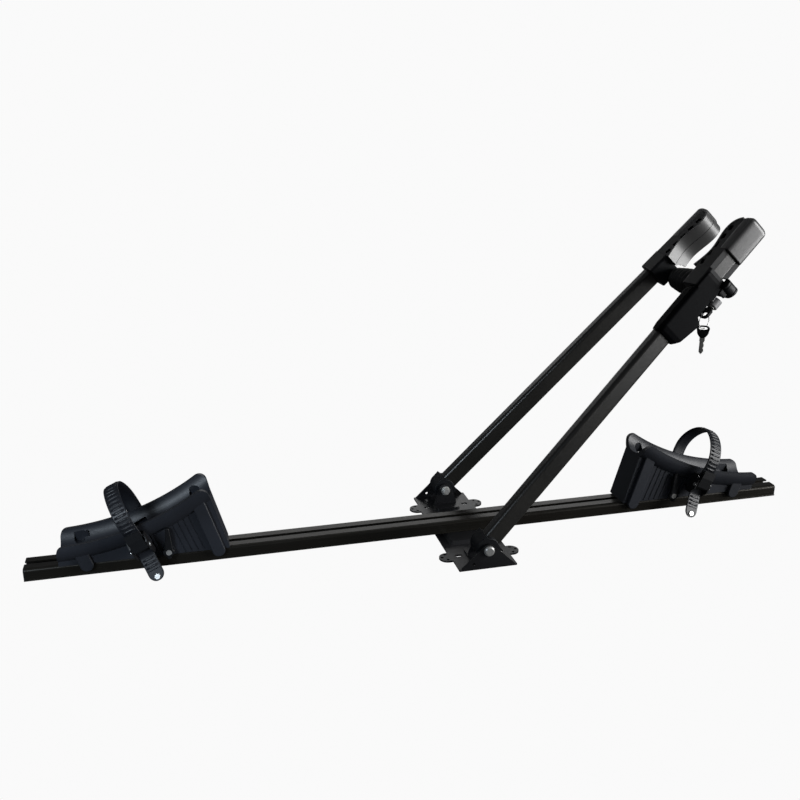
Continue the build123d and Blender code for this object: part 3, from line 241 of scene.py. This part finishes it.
def grid_mesh(name: str, points: np.ndarray, wrap_rows: bool, wrap_columns: bool) -> bpy.types.Object:
    """Make a smooth quad surface from a grid of points.

    Args:
        name: The object's name.
        points: Rows x columns x 3, in metres.
        wrap_rows: Join the last row to the first.
        wrap_columns: Join the last column to the first.

    Returns:
        The object, at the world origin.
    """
    rows, columns = points.shape[:2]
    row = np.arange(rows if wrap_rows else rows - 1)
    column = np.arange(columns if wrap_columns else columns - 1)
    r, c = np.meshgrid(row, column, indexing="ij")
    r2, c2 = (r + 1) % rows, (c + 1) % columns
    corners = [r * columns + c, r2 * columns + c, r2 * columns + c2, r * columns + c2]
    faces = np.stack(corners, axis=-1).reshape(-1, 4)
    mesh = bpy.data.meshes.new(name)
    mesh.from_pydata(points.reshape(-1, 3).tolist(), [], faces.tolist())
    mesh.polygons.foreach_set("use_smooth", np.ones(len(faces), dtype=bool))
    mesh.update()
    obj = bpy.data.objects.new(name, mesh)
    bpy.context.scene.collection.objects.link(obj)
    return obj


def clamped_spline(knots: np.ndarray, first: np.ndarray, last: np.ndarray, count: int) -> np.ndarray:
    """Sample a cubic spline through points with set end slopes.

    The slopes at the inner knots solve the tridiagonal system that makes the curvature continuous; each
    span is then a Hermite cubic.

    Args:
        knots: N x 2 points.
        first: Slope at the first knot, per unit of chord length.
        last: Slope at the last knot.
        count: Number of samples.

    Returns:
        count x 2 points.
    """
    chord = np.linalg.norm(np.diff(knots, axis=0), axis=1)
    at = np.concatenate([[0], np.cumsum(chord)])
    size = len(knots)
    system = np.zeros((size, size))
    right = np.zeros((size, 2))
    system[0, 0] = system[-1, -1] = 1
    right[0], right[-1] = first, last
    inner = np.arange(1, size - 1)
    system[inner, inner - 1] = 1 / chord[:-1]
    system[inner, inner] = 2 * (1 / chord[:-1] + 1 / chord[1:])
    system[inner, inner + 1] = 1 / chord[1:]
    step = np.diff(knots, axis=0) / chord[:, None] ** 2
    right[inner] = 3 * (step[:-1] + step[1:])
    slope = np.linalg.solve(system, right)
    where = np.linspace(0, at[-1], count)
    span = np.clip(np.searchsorted(at, where, side="right") - 1, 0, size - 2)
    share = ((where - at[span]) / chord[span])[:, None]
    width = chord[span][:, None]
    start = (2 * share**3 - 3 * share**2 + 1) * knots[span]
    leave = (share**3 - 2 * share**2 + share) * width * slope[span]
    stop = (3 * share**2 - 2 * share**3) * knots[span + 1]
    arrive = (share**3 - share**2) * width * slope[span + 1]
    return start + leave + stop + arrive


@dataclass
class ClampBellows:
    """The ribbed rubber sleeve between the collars.

    Args:
        folds: Number of ribs.
        crest: Rib radius beside the near collar.
        crest_far: Rib radius beside the far collar.
        fold: Depth of a rib.
        bore: Radius of the hole at both ends.
    """

    folds: int = 8
    crest: float = 23.0 * MM
    crest_far: float = 18.5 * MM
    fold: float = 5.2 * MM
    bore: float = 9.0 * MM

    def build(self, wardrobe: Wardrobe) -> None:
        """Revolve the ribbed profile.

        The radius is the crest less the fold times one minus a power of a raised cosine, so the crests are
        round and the roots are sharp; the crest shrinks towards the far collar.

        Args:
            wardrobe: The finishes.
        """
        low, high = (Vector(corner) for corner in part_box("bellows"))
        centre_x, centre_z = (low.x + high.x) / 2, (low.z + high.z) / 2
        share = np.linspace(0, 1, self.folds * 22 + 1)
        wave = 0.5 - 0.5 * np.cos(2 * np.pi * self.folds * share)
        crest = self.crest + (self.crest_far - self.crest) * np.clip((share - 0.55) / 0.4, 0, 1) ** 1.2
        radius = crest - self.fold * (1 - wave**0.75)
        along = low.y + (high.y - low.y) * share
        inner = np.array([self.bore])
        along = np.concatenate([[along[0]], along, [along[-1]]])
        radius = np.concatenate([inner, radius, inner])
        turn = np.linspace(0, 2 * np.pi, 96, endpoint=False)
        points = np.empty((len(along), len(turn), 3))
        points[..., 0] = centre_x + radius[:, None] * np.cos(turn)
        points[..., 1] = along[:, None]
        points[..., 2] = centre_z + radius[:, None] * np.sin(turn)
        obj = grid_mesh("clamp_bellows", points, False, True)
        wardrobe.dress(obj, "soft_rubber")
        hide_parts("bellows")
        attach(obj, "far_arm")


@dataclass
class LadderStrap:
    """A ladder strap: from its far pin over the wheel, through the buckle, to the hanging tip.

    Args:
        side: The tray that it belongs to.
        half_width: Half of the strap's width.
        thick: Thickness between the ridges.
        pitch: Distance between ridges.
        ridge: Height of a ridge.
        lean: Slope of the hanging end.
        hang: Length of the hanging end.
        straight: Length of the hanging end before it leans.
        bend: Length over which it comes to lean.
        knots: The loop's points in the strap's tilted plane, as distance in Y and rise.
    """

    side: Side
    half_width: float = 12.0
    thick: float = 2.4
    pitch: float = 6.4
    ridge: float = 1.1
    lean: float = math.radians(24)
    hang: float = 60.4
    straight: float = 14.0
    bend: float = 8.0
    knots: tuple = ((43.3, 6.0), (48.0, 44.5), (-1.0, 89.5), (-50.0, 44.5), (-46.0, 0.0))

    def path(self) -> np.ndarray:
        """The strap's inner line in its tilted plane: a spline loop and a straight hanging end.

        Returns:
            N x 2 points, as distance in Y and rise.
        """
        loop = np.array(self.knots)
        upper = clamped_spline(loop, np.array([0.0, 1.0]), np.array([0.0, -1.0]), 520)
        bend = self.lean * np.clip((np.linspace(0, 60, 160) - self.straight) / self.bend, 0, 1)
        step = self.hang / 160
        lower = np.cumsum(np.stack([-np.sin(bend), -np.cos(bend)], axis=1) * step, axis=0) + loop[-1]
        return np.concatenate([upper, lower])

    def build(self, wardrobe: Wardrobe) -> None:
        """Sweep a flat rounded section along the path.

        A point is the line's point, plus the outward normal times the section's height there, plus the
        tilted width direction; ridges, a clipped sine of the length, swell the middle of the outer face.

        Args:
            wardrobe: The finishes.
        """
        line = self.path()
        tangent = np.gradient(line, axis=0)
        tangent /= np.linalg.norm(tangent, axis=1)[:, None]
        normal = np.stack([-tangent[:, 1], tangent[:, 0]], axis=1)
        outward = np.sign(np.sum(normal * (line - np.array([0.0, 35.0])), axis=1))[:, None]
        normal = normal * outward[len(outward) // 3]
        length = np.concatenate([[0], np.cumsum(np.linalg.norm(np.diff(line, axis=0), axis=1))])
        left = length[-1] - length
        narrow = np.sqrt(np.clip(1 - np.clip((12 - left) / 12.2, 0, 1) ** 2, 0.02, 1))
        across = np.array([-1, -0.97, -0.88, -0.72, -0.68, -0.3, 0, 0.3, 0.68, 0.72, 0.88, 0.97, 1,
                           1, 0.97, 0.5, 0, -0.5, -0.97, -1])
        height = np.array([0.75, 0.94, 1, 1, 1, 1, 1, 1, 1, 1, 1, 0.94, 0.75,
                           0.25, 0.06, 0, 0, 0, 0.06, 0.25])
        ridged = np.array([0, 0, 0, 0, 1, 1, 1, 1, 1, 0, 0, 0, 0, 0, 0, 0, 0, 0, 0, 0], dtype=float)
        tooth = np.clip(1.6 * np.sin(2 * np.pi * length / self.pitch), 0, 1)
        near_buckle = (line[:, 0] < -30) & (np.abs(line[:, 1]) < 21)
        tooth = np.where(near_buckle | (length < 16) | (left < 18), 0, tooth)
        rise = height[None, :] * self.thick + ridged[None, :] * tooth[:, None] * self.ridge
        flat = line[:, None, :] + normal[:, None, :] * rise[..., None]
        wide = across[None, :] * self.half_width * narrow[:, None]
        points = np.empty((*wide.shape, 3))
        reach = STRAP_REACH + flat[..., 1] * math.sin(STRAP_TILT) + wide * math.cos(STRAP_TILT)
        points[..., 0] = TRAY_MIDDLE + self.side.value * reach
        points[..., 1] = flat[..., 0]
        points[..., 2] = STRAP_FOOT + flat[..., 1] * math.cos(STRAP_TILT) - wide * math.sin(STRAP_TILT)
        name = self.side.name.lower()
        obj = grid_mesh(f"{name}_ladder_strap", points * MM, False, True)
        wardrobe.dress(obj, "strap_plastic")
        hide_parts(f"{name}_strap")
        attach(obj, f"{name}_tray")


def on_arm(along: np.ndarray, across: np.ndarray, out: np.ndarray) -> np.ndarray:
    """Carry points of the near arm to the carrier's own axes.

    Args:
        along: Millimetres from the pivot along the arm.
        across: Millimetres up and back, square to the arm.
        out: Millimetres outwards.

    Returns:
        The points in metres, with one more axis of length 3.
    """
    return (ARM_ORIGIN + along[..., None] * ARM_X + across[..., None] * ARM_Y + out[..., None] * ARM_Z) * MM


def rounded_form(name: str, centres: np.ndarray, first: np.ndarray, second: np.ndarray,
                 half_first: np.ndarray, half_second: np.ndarray, power: float) -> bpy.types.Object:
    """A closed form with superellipse sections.

    Each section has the points where |u / a| ** power + |v / b| ** power = 1; the end sections are closed to
    their centres.

    Args:
        name: The object's name.
        centres: Section centres, N x 3, in metres.
        first: Unit direction of the sections' first half size.
        second: Unit direction of the second.
        half_first: Half sizes along the first direction, in metres.
        half_second: Half sizes along the second.
        power: 2 for an ellipse, more for squarer sections.

    Returns:
        The object.
    """
    turn = np.linspace(0, 2 * np.pi, 72, endpoint=False)
    wide = np.sign(np.cos(turn)) * np.abs(np.cos(turn)) ** (2 / power)
    tall = np.sign(np.sin(turn)) * np.abs(np.sin(turn)) ** (2 / power)
    rows = np.concatenate([[0], np.arange(len(centres)), [len(centres) - 1]])
    size = np.ones(len(rows))
    size[0] = size[-1] = 0.0
    side = (size * half_first[rows])[:, None, None] * wide[None, :, None] * first
    rise = (size * half_second[rows])[:, None, None] * tall[None, :, None] * second
    return grid_mesh(name, centres[rows][:, None, :] + side + rise, False, True)


def read_table(along: np.ndarray, table: tuple) -> np.ndarray:
    """Read a table of places and sizes, straight between its rows.

    Args:
        along: The places to read.
        table: Pairs of place and size, in rising order of place.

    Returns:
        The size at each place.
    """
    return np.interp(along, *np.transpose(table))


def end_rounding(along: np.ndarray, radius: tuple) -> np.ndarray:
    """How far a form draws in near its two ends to round them as quarter circles.

    Args:
        along: Places along the form.
        radius: The radius at each end.

    Returns:
        The draw-in at each place.
    """
    first, last = radius
    low = np.clip(first - (along - along[0]), 0, first)
    high = np.clip(last - (along[-1] - along), 0, last)
    return (first - np.sqrt(first**2 - low**2)) + (last - np.sqrt(last**2 - high**2))


def mirror_to_far_side(obj: bpy.types.Object) -> None:
    """Carry a form to the far side of the carrier, keeping its faces outwards.

    Args:
        obj: The form, which is changed in place.
    """
    count = len(obj.data.vertices)
    places = np.empty(count * 3)
    obj.data.vertices.foreach_get("co", places)
    places = places.reshape(-1, 3) * np.array([1, -1, 1])
    obj.data.vertices.foreach_set("co", places.ravel())
    obj.data.flip_normals()
    obj.data.update()


@dataclass
class JawCover:
    """The rounded moulded cover over an arm's end, behind the jaw.

    Args:
        start: Where it begins along the arm.
        end: Where it ends.
        half_height: Half of its size across the arm.
        half_depth: Half of its size outwards.
        out: How far outwards its middle is.
        square: Power of its superellipse section.
    """

    start: float = 603.0
    end: float = 671.3
    half_height: float = 20.3
    half_depth: float = 11.6
    out: float = 3.6
    square: float = 5.5

    def build(self, wardrobe: Wardrobe) -> None:
        """Build the near cover and its mirror image.

        Args:
            wardrobe: The finishes.
        """
        share = np.linspace(0, 1, 64)
        along = self.start + (self.end - self.start) * (0.5 - 0.5 * np.cos(np.pi * share))
        shrink = end_rounding(along, (1.5, 9.0))
        for prefix in ("near", "far"):
            swell = 0.6 * np.sin(np.pi * share)
            centres = on_arm(along, along * 0, along * 0 + self.out)
            obj = rounded_form(f"{prefix}_jaw_cover", centres, ARM_Y, ARM_Z,
                               (self.half_height - shrink + swell * 0.3) * MM,
                               (self.half_depth - shrink * 0.8) * MM, self.square)
            if prefix == "far":
                mirror_to_far_side(obj)
            wardrobe.dress(obj, "satin_plastic")
            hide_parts(f"{prefix}_jaw_shell")
            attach(obj, f"{prefix}_arm")


@dataclass
class ReleaseLever:
    """The quick-release lever: an open channel over the arm, tapering to a blunt end, with its cam barrel.

    Args:
        wall: Wall thickness.
        corner: Outer corner radius.
        upper_edge: Pairs of place along the arm and distance across it, for the upper side.
        lower_edge: The same for the lower side, which steps in behind the key.
        front_face: Pairs of place along the arm and distance outwards, for the face.
        upper_back: The same for the upper side's open rim.
        lower_back: The same for the lower side's open rim.
        cam_at: The cam pin's place along the arm.
        cam_out: The cam pin's distance outwards.
        cam_radius: The cam barrel's radius.
        cam_ends: Where the barrel begins and ends across the arm.
        bridge_at: The bridge's place along the arm.
        bridge_out: Its distance outwards.
        bridge_ends: Where it begins and ends across the arm.
        bridge_half: Half of its size along the arm and outwards.
    """

    wall: float = 2.6
    corner: float = 6.5
    upper_edge: tuple = ((436, 18.9), (447, 21.0), (520, 21.4), (552, 21.2), (558.5, 19.0))
    lower_edge: tuple = ((436, -19.0), (447, -26.0), (480, -32.4), (486, -33.0), (490, -30.0),
                         (495, -21.3), (505, -20.6), (552, -20.4), (558.5, -19.4))
    front_face: tuple = ((436, 13.8), (441, 16.5), (449, 18.3), (552, 18.8), (558.5, 17.6))
    upper_back: tuple = ((436, -4.0), (519, -3.0), (527, 15.4))
    lower_back: tuple = ((436, -4.0), (519, -2.0), (527, 15.4))
    cam_at: float = 562.0
    cam_out: float = 15.0
    cam_radius: float = 10.9
    cam_ends: tuple = (-35.4, -20.9)
    bridge_at: float = 553.0
    bridge_out: float = 18.0
    bridge_ends: tuple = (-32.0, -17.5)
    bridge_half: tuple = (8.5, 2.4)

    def channel(self, inset: float, along: np.ndarray) -> np.ndarray:
        """The channel's outline at each place along the arm, drawn in by an inset.

        Args:
            inset: How far to draw it in.
            along: Places along the arm.

        Returns:
            Stations x points x 2: across and out.
        """
        upper = read_table(along, self.upper_edge) - inset
        lower = read_table(along, self.lower_edge) + inset
        front = read_table(along, self.front_face) - inset
        back_up = read_table(along, self.upper_back)
        back_low = read_table(along, self.lower_back)
        radius = np.minimum(self.corner - inset, (front - np.maximum(back_up, back_low)) * 0.95 + 0.05)
        quarter = np.linspace(0, np.pi / 2, 10)
        side = np.linspace(0, 1, 7)
        middle = np.linspace(0, 1, 24)[1:-1]
        parts = [
            (upper[:, None] + 0 * side, back_up[:, None] + (front - radius - back_up)[:, None] * side),
            ((upper - radius)[:, None] + radius[:, None] * np.cos(quarter),
             (front - radius)[:, None] + radius[:, None] * np.sin(quarter)),
            ((upper - radius)[:, None] + (lower - upper + 2 * radius)[:, None] * middle,
             front[:, None] + 0 * middle),
            ((lower + radius)[:, None] - radius[:, None] * np.sin(quarter),
             (front - radius)[:, None] + radius[:, None] * np.cos(quarter)),
            (lower[:, None] + 0 * side,
             (front - radius)[:, None] + (back_low - front + radius)[:, None] * side),
        ]
        return np.stack([np.concatenate([a for a, _ in parts], axis=1),
                         np.concatenate([b for _, b in parts], axis=1)], axis=-1)

    def build(self, wardrobe: Wardrobe) -> None:
        """Loft the channel between its outer and inner outlines, then add the cam barrel and the bridge.

        Args:
            wardrobe: The finishes.
        """
        along = np.linspace(self.upper_edge[0][0], self.upper_edge[-1][0], 170)
        rim = np.concatenate([self.channel(0.0, along), self.channel(self.wall, along)[:, ::-1]], axis=1)
        middle = (rim + rim[:, ::-1]) / 2
        rows = np.concatenate([middle[:1], rim, middle[-1:]])
        at = np.concatenate([along[:1], along, along[-1:]])
        points = on_arm(at[:, None] + 0 * rows[..., 0], rows[..., 0], rows[..., 1])
        shell = grid_mesh("release_lever", points, False, True)
        wardrobe.dress(shell, "matt_plastic")
        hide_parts("cam_lever")
        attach(shell, "cam_lever")
        depth = np.linspace(*self.cam_ends, 40)
        spread = (self.cam_radius - end_rounding(depth, (1.6, 1.2))) * MM
        centres = on_arm(depth * 0 + self.cam_at, depth, depth * 0 + self.cam_out)
        barrel = rounded_form("cam_barrel", centres, ARM_X, ARM_Z, spread, spread, 2.0)
        wardrobe.dress(barrel, "black_plastic")
        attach(barrel, "cam_lever")
        depth = np.linspace(*self.bridge_ends, 30)
        shrink = end_rounding(depth, (2.0, 2.0))
        centres = on_arm(depth * 0 + self.bridge_at, depth, depth * 0 + self.bridge_out)
        bridge = rounded_form("cam_bridge", centres, ARM_X, ARM_Z, (self.bridge_half[0] - shrink) * MM,
                              (self.bridge_half[1] - shrink * 0.6) * MM, 4.0)
        wardrobe.dress(bridge, "black_plastic")
        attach(bridge, "cam_lever")


@dataclass
class HangingKey:
    """The second key on the ring: a dark bow with a slot and a notched bright blade.

    Args:
        half_width: Half of the bow's width.
        length: The bow's length.
        thick: The bow's thickness.
        turn: How far the key is turned about Z.
        rise: Height of the bow's middle above the shoulder.
        slot_rise: Height of the slot's middle above the shoulder.
        slot_half: Half of the slot's width and of its height.
        blade: Pairs of place below the shoulder and half width, before the notches.
        blade_half: Half of the blade's thickness.
        bite: Depth of a notch.
    """

    half_width: float = 11.0
    length: float = 21.0
    thick: float = 3.6
    turn: float = math.radians(30)
    rise: float = 10.5
    slot_rise: float = 16.2
    slot_half: tuple = (6.6, 2.4)
    blade: tuple = ((-1.5, 4.2), (4.9, 4.2), (5.1, 3.6), (23, 3.6), (26.6, 0.7))
    blade_half: float = 0.95
    bite: float = 1.5

    def bow(self) -> tuple:
        """The bow's inner and outer outlines, superellipses with the outer one tapering to the shoulder.

        Returns:
            Two arrays of 2 x N: across and up from the shoulder.
        """
        turn = np.linspace(0, 2 * np.pi, 96, endpoint=False)
        side = np.sign(np.cos(turn)) * np.abs(np.cos(turn)) ** np.array([[0.62], [0.7]])
        rise = np.sign(np.sin(turn)) * np.abs(np.sin(turn)) ** np.array([[0.62], [0.8]])
        taper = 1 - 0.42 * np.clip(0.35 - np.sin(turn), 0, 1)
        outer = np.stack([side[0] * (self.half_width - 0.2) * taper, self.rise + rise[0] * 10.3])
        inner = np.stack([side[1] * self.slot_half[0], self.slot_rise + rise[1] * self.slot_half[1]])
        return inner, outer

    def build(self, wardrobe: Wardrobe) -> None:
        """Build the bow as a flat ring and the blade as a notched plate.

        Args:
            wardrobe: The finishes.
        """
        low, high = (np.array(corner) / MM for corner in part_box("spare_key"))
        across = np.array([math.cos(self.turn), -math.sin(self.turn), 0.0])
        face = np.array([math.sin(self.turn), math.cos(self.turn), 0.0])
        up = np.array([0.0, 0.0, 1.0])
        middle = (low + high) / 2
        shoulder = np.array([middle[0], middle[1], high[2] - self.length])
        share = np.array([0.0, 0.0, 0.04, 0.1, 0.9, 0.96, 1.0, 1.0, 0.96, 0.9, 0.1, 0.04])
        level = np.array([-0.7, 0.7, 0.93, 1, 1, 0.93, 0.7, -0.7, -0.93, -1, -1, -0.93]) * self.thick / 2
        inner, outer = self.bow()
        flat = inner[None] + (outer - inner)[None] * share[:, None, None]
        points = (shoulder + flat[:, 0, :, None] * across + flat[:, 1, :, None] * up
                  + level[:, None, None] * face)
        bow = grid_mesh("spare_key_bow", points * MM, True, True)
        wardrobe.dress(bow, "black_plastic")
        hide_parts("spare_key")
        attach(bow, "spare_key")
        drop = np.linspace(self.blade[0][0], self.blade[-1][0], 120)
        notch = np.clip(np.sin(drop * 1.55) * np.sign(np.sin(drop * 0.73 + 0.6)), 0, 1) * (drop > 7)
        left = read_table(drop, self.blade)
        right = left - self.bite * notch
        centre = shoulder - drop[:, None] * up + ((right - left) / 2)[:, None] * across
        blade = rounded_form("spare_key_blade", centre * MM, across, face, (right + left) / 2 * MM,
                             np.full(len(drop), self.blade_half) * MM, 7.0)
        wardrobe.dress(blade, "zinc")
        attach(blade, "spare_key")


@dataclass
class StrapKeeper:
    """The plate outside the tray's far wall that closes the strap's slot.

    Args:
        side: The tray that it belongs to.
        back: Its place in Y.
        low: How far it reaches below the strap's foot.
        high: How far it reaches above it.
        half_width: Half of its width.
        half_thick: Half of its thickness.
    """

    side: Side
    back: float = 35.6
    low: float = 3.0
    high: float = 15.0
    half_width: float = 11.8
    half_thick: float = 1.2

    def build(self, wardrobe: Wardrobe) -> None:
        """Build a thin rounded plate in the strap's tilt.

        Args:
            wardrobe: The finishes.
        """
        x = self.side.value
        up = np.array([x * math.sin(STRAP_TILT), 0, math.cos(STRAP_TILT)])
        across = np.array([x * math.cos(STRAP_TILT), 0, -math.sin(STRAP_TILT)])
        rise = np.linspace(-self.low, self.high, 24)
        shrink = end_rounding(rise, (1.0, 1.0))
        foot = np.array([TRAY_MIDDLE + x * STRAP_REACH, self.back, STRAP_FOOT])
        name = self.side.name.lower()
        plate = rounded_form(f"{name}_strap_keeper", (foot + rise[:, None] * up) * MM, across,
                             np.array([0.0, 1.0, 0.0]), (self.half_width - shrink) * MM,
                             (self.half_thick - shrink * 0.5) * MM, 6.0)
        wardrobe.dress(plate, "strap_plastic")
        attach(plate, f"{name}_tray")


@dataclass
class Studio:
    """The pale floor, the soft lights and the camera.

    Args:
        floor_level: The floor's height, just below the base plate.
        floor_half: Half of the floor's width.
        lens: Focal length in millimetres on the sensor.
        sensor: Sensor width in millimetres.
        eye: The camera's place.
        pitch: How far it looks down, in degrees.
        yaw: How far it looks to the right, in degrees.
    """

    floor_level: float = -0.0006
    floor_half: float = 40.0
    lens: float = 40.25
    sensor: float = 36.0
    eye: tuple = (-0.4407, -1.3284, 0.6999)
    pitch: float = 18.4
    yaw: float = 14.0

    def aim(self, name: str, data: bpy.types.Light, place: tuple, target: tuple, power: float) -> None:
        """Place a light so that it faces a point.

        Args:
            name: The light's name.
            data: The light.
            place: Its position.
            target: The point that it faces.
            power: Watts.
        """
        data.energy = power
        obj = bpy.data.objects.new(name, data)
        obj.location = place
        obj.rotation_euler = (Vector(target) - Vector(place)).to_track_quat("-Z", "Y").to_euler()
        bpy.context.scene.collection.objects.link(obj)

    def panel(self, name: str, place: tuple, size: tuple, power: float) -> None:
        """An oblong area light that faces the carrier.

        Args:
            name: The light's name.
            place: Its position.
            size: Its width and height.
            power: Watts.
        """
        data = bpy.data.lights.new(name, "AREA")
        data.shape = "RECTANGLE"
        data.size, data.size_y = size
        self.aim(name, data, place, (0.0, 0.0, 0.2), power)

    def spot(self) -> None:
        """A soft, slightly blue spotlight for the tray on the left."""
        data = bpy.data.lights.new("spot_left", "SPOT")
        data.color = (0.78, 0.89, 1.0)
        data.spot_size = math.radians(36)
        data.spot_blend = 0.8
        data.shadow_soft_size = 0.35
        self.aim("spot_left", data, (-1.5, -1.5, 0.9), (-0.56, 0.0, 0.08), 95.0)

    def white_to_camera(self, tree: bpy.types.NodeTree, plain: bpy.types.NodeSocket,
                        white: bpy.types.NodeSocket, kind: str) -> None:
        """Show one shader to the camera and another to every other ray.

        Args:
            tree: The node tree.
            plain: The shader for other rays.
            white: The shader for the camera.
            kind: The output node's type.
        """
        path = tree.nodes.new("ShaderNodeLightPath")
        mix = tree.nodes.new("ShaderNodeMixShader")
        out = tree.nodes.new(kind)
        tree.links.new(path.outputs["Is Camera Ray"], mix.inputs["Fac"])
        tree.links.new(plain, mix.inputs[1])
        tree.links.new(white, mix.inputs[2])
        tree.links.new(mix.outputs["Shader"], out.inputs["Surface"])

    def floor(self) -> None:
        """A wide pale floor just below the base plate, as white as the surroundings to the camera."""
        mesh = bpy.data.meshes.new("floor")
        corners = [(x * self.floor_half, y * self.floor_half, self.floor_level)
                   for x, y in ((-1, -1), (1, -1), (1, 1), (-1, 1))]
        mesh.from_pydata(corners, [], [(0, 1, 2, 3)])
        obj = bpy.data.objects.new("floor", mesh)
        bpy.context.scene.collection.objects.link(obj)
        material = bpy.data.materials.new("floor_paper")
        material.use_nodes = True
        tree = material.node_tree
        tree.nodes.clear()
        diffuse = tree.nodes.new("ShaderNodeBsdfDiffuse")
        diffuse.inputs["Color"].default_value = (0.10, 0.10, 0.10, 1)
        glow = tree.nodes.new("ShaderNodeEmission")
        glow.inputs["Color"].default_value = PAPER_WHITE
        self.white_to_camera(tree, diffuse.outputs["BSDF"], glow.outputs["Emission"],
                             "ShaderNodeOutputMaterial")
        mesh.materials.append(material)

    def world(self) -> None:
        """Soft grey surroundings, white where the camera looks straight at them."""
        world = bpy.data.worlds.new("studio")
        bpy.context.scene.world = world
        world.use_nodes = True
        tree = world.node_tree
        tree.nodes.clear()
        soft = tree.nodes.new("ShaderNodeBackground")
        soft.inputs["Color"].default_value = (0.9, 0.92, 0.95, 1)
        soft.inputs["Strength"].default_value = 0.10
        white = tree.nodes.new("ShaderNodeBackground")
        white.inputs["Color"].default_value = PAPER_WHITE
        self.white_to_camera(tree, soft.outputs["Background"], white.outputs["Background"],
                             "ShaderNodeOutputWorld")

    def camera(self) -> None:
        """The camera: left of the middle, looking down and a little to the right."""
        data = bpy.data.cameras.new("camera")
        data.lens = self.lens
        data.sensor_width = self.sensor
        data.clip_end = 200.0
        obj = bpy.data.objects.new("camera", data)
        obj.location = self.eye
        obj.rotation_euler = (math.radians(90 - self.pitch), 0.0, math.radians(-self.yaw))
        bpy.context.scene.collection.objects.link(obj)
        bpy.context.scene.camera = obj

    def build(self) -> None:
        """Set up the whole studio."""
        scene = bpy.context.scene
        scene.view_settings.view_transform = "Standard"
        self.floor()
        self.world()
        self.camera()
        self.panel("softbox_right", (2.4, -1.1, 0.5), (1.3, 1.3), 85.0)
        self.panel("softbox_low_right", (1.6, -1.9, -0.25), (1.2, 0.8), 8.0)
        self.spot()
        self.panel("softbox_back", (0.5, 2.5, 1.0), (2.4, 0.8), 8.0)
        self.panel("softbox_top", (0.0, 0.5, 2.6), (1.6, 0.8), 3.0)


def main() -> None:
    """Build every sub-assembly in order and report it."""
    wardrobe = Wardrobe()
    wardrobe.build()
    log.info("dressed %d solid pieces", wardrobe.dress_solids())
    ClampBellows().build(wardrobe)
    log.info("built the bellows")
    JawCover().build(wardrobe)
    ReleaseLever().build(wardrobe)
    HangingKey().build(wardrobe)
    log.info("built the jaw covers, the release lever and the hanging key")
    for side in Side:
        StrapKeeper(side).build(wardrobe)
        LadderStrap(side).build(wardrobe)
        log.info("built the %s strap", side.name.lower())
    Studio().build()
    log.info("built the studio")


if __name__ == "__main__":
    main()
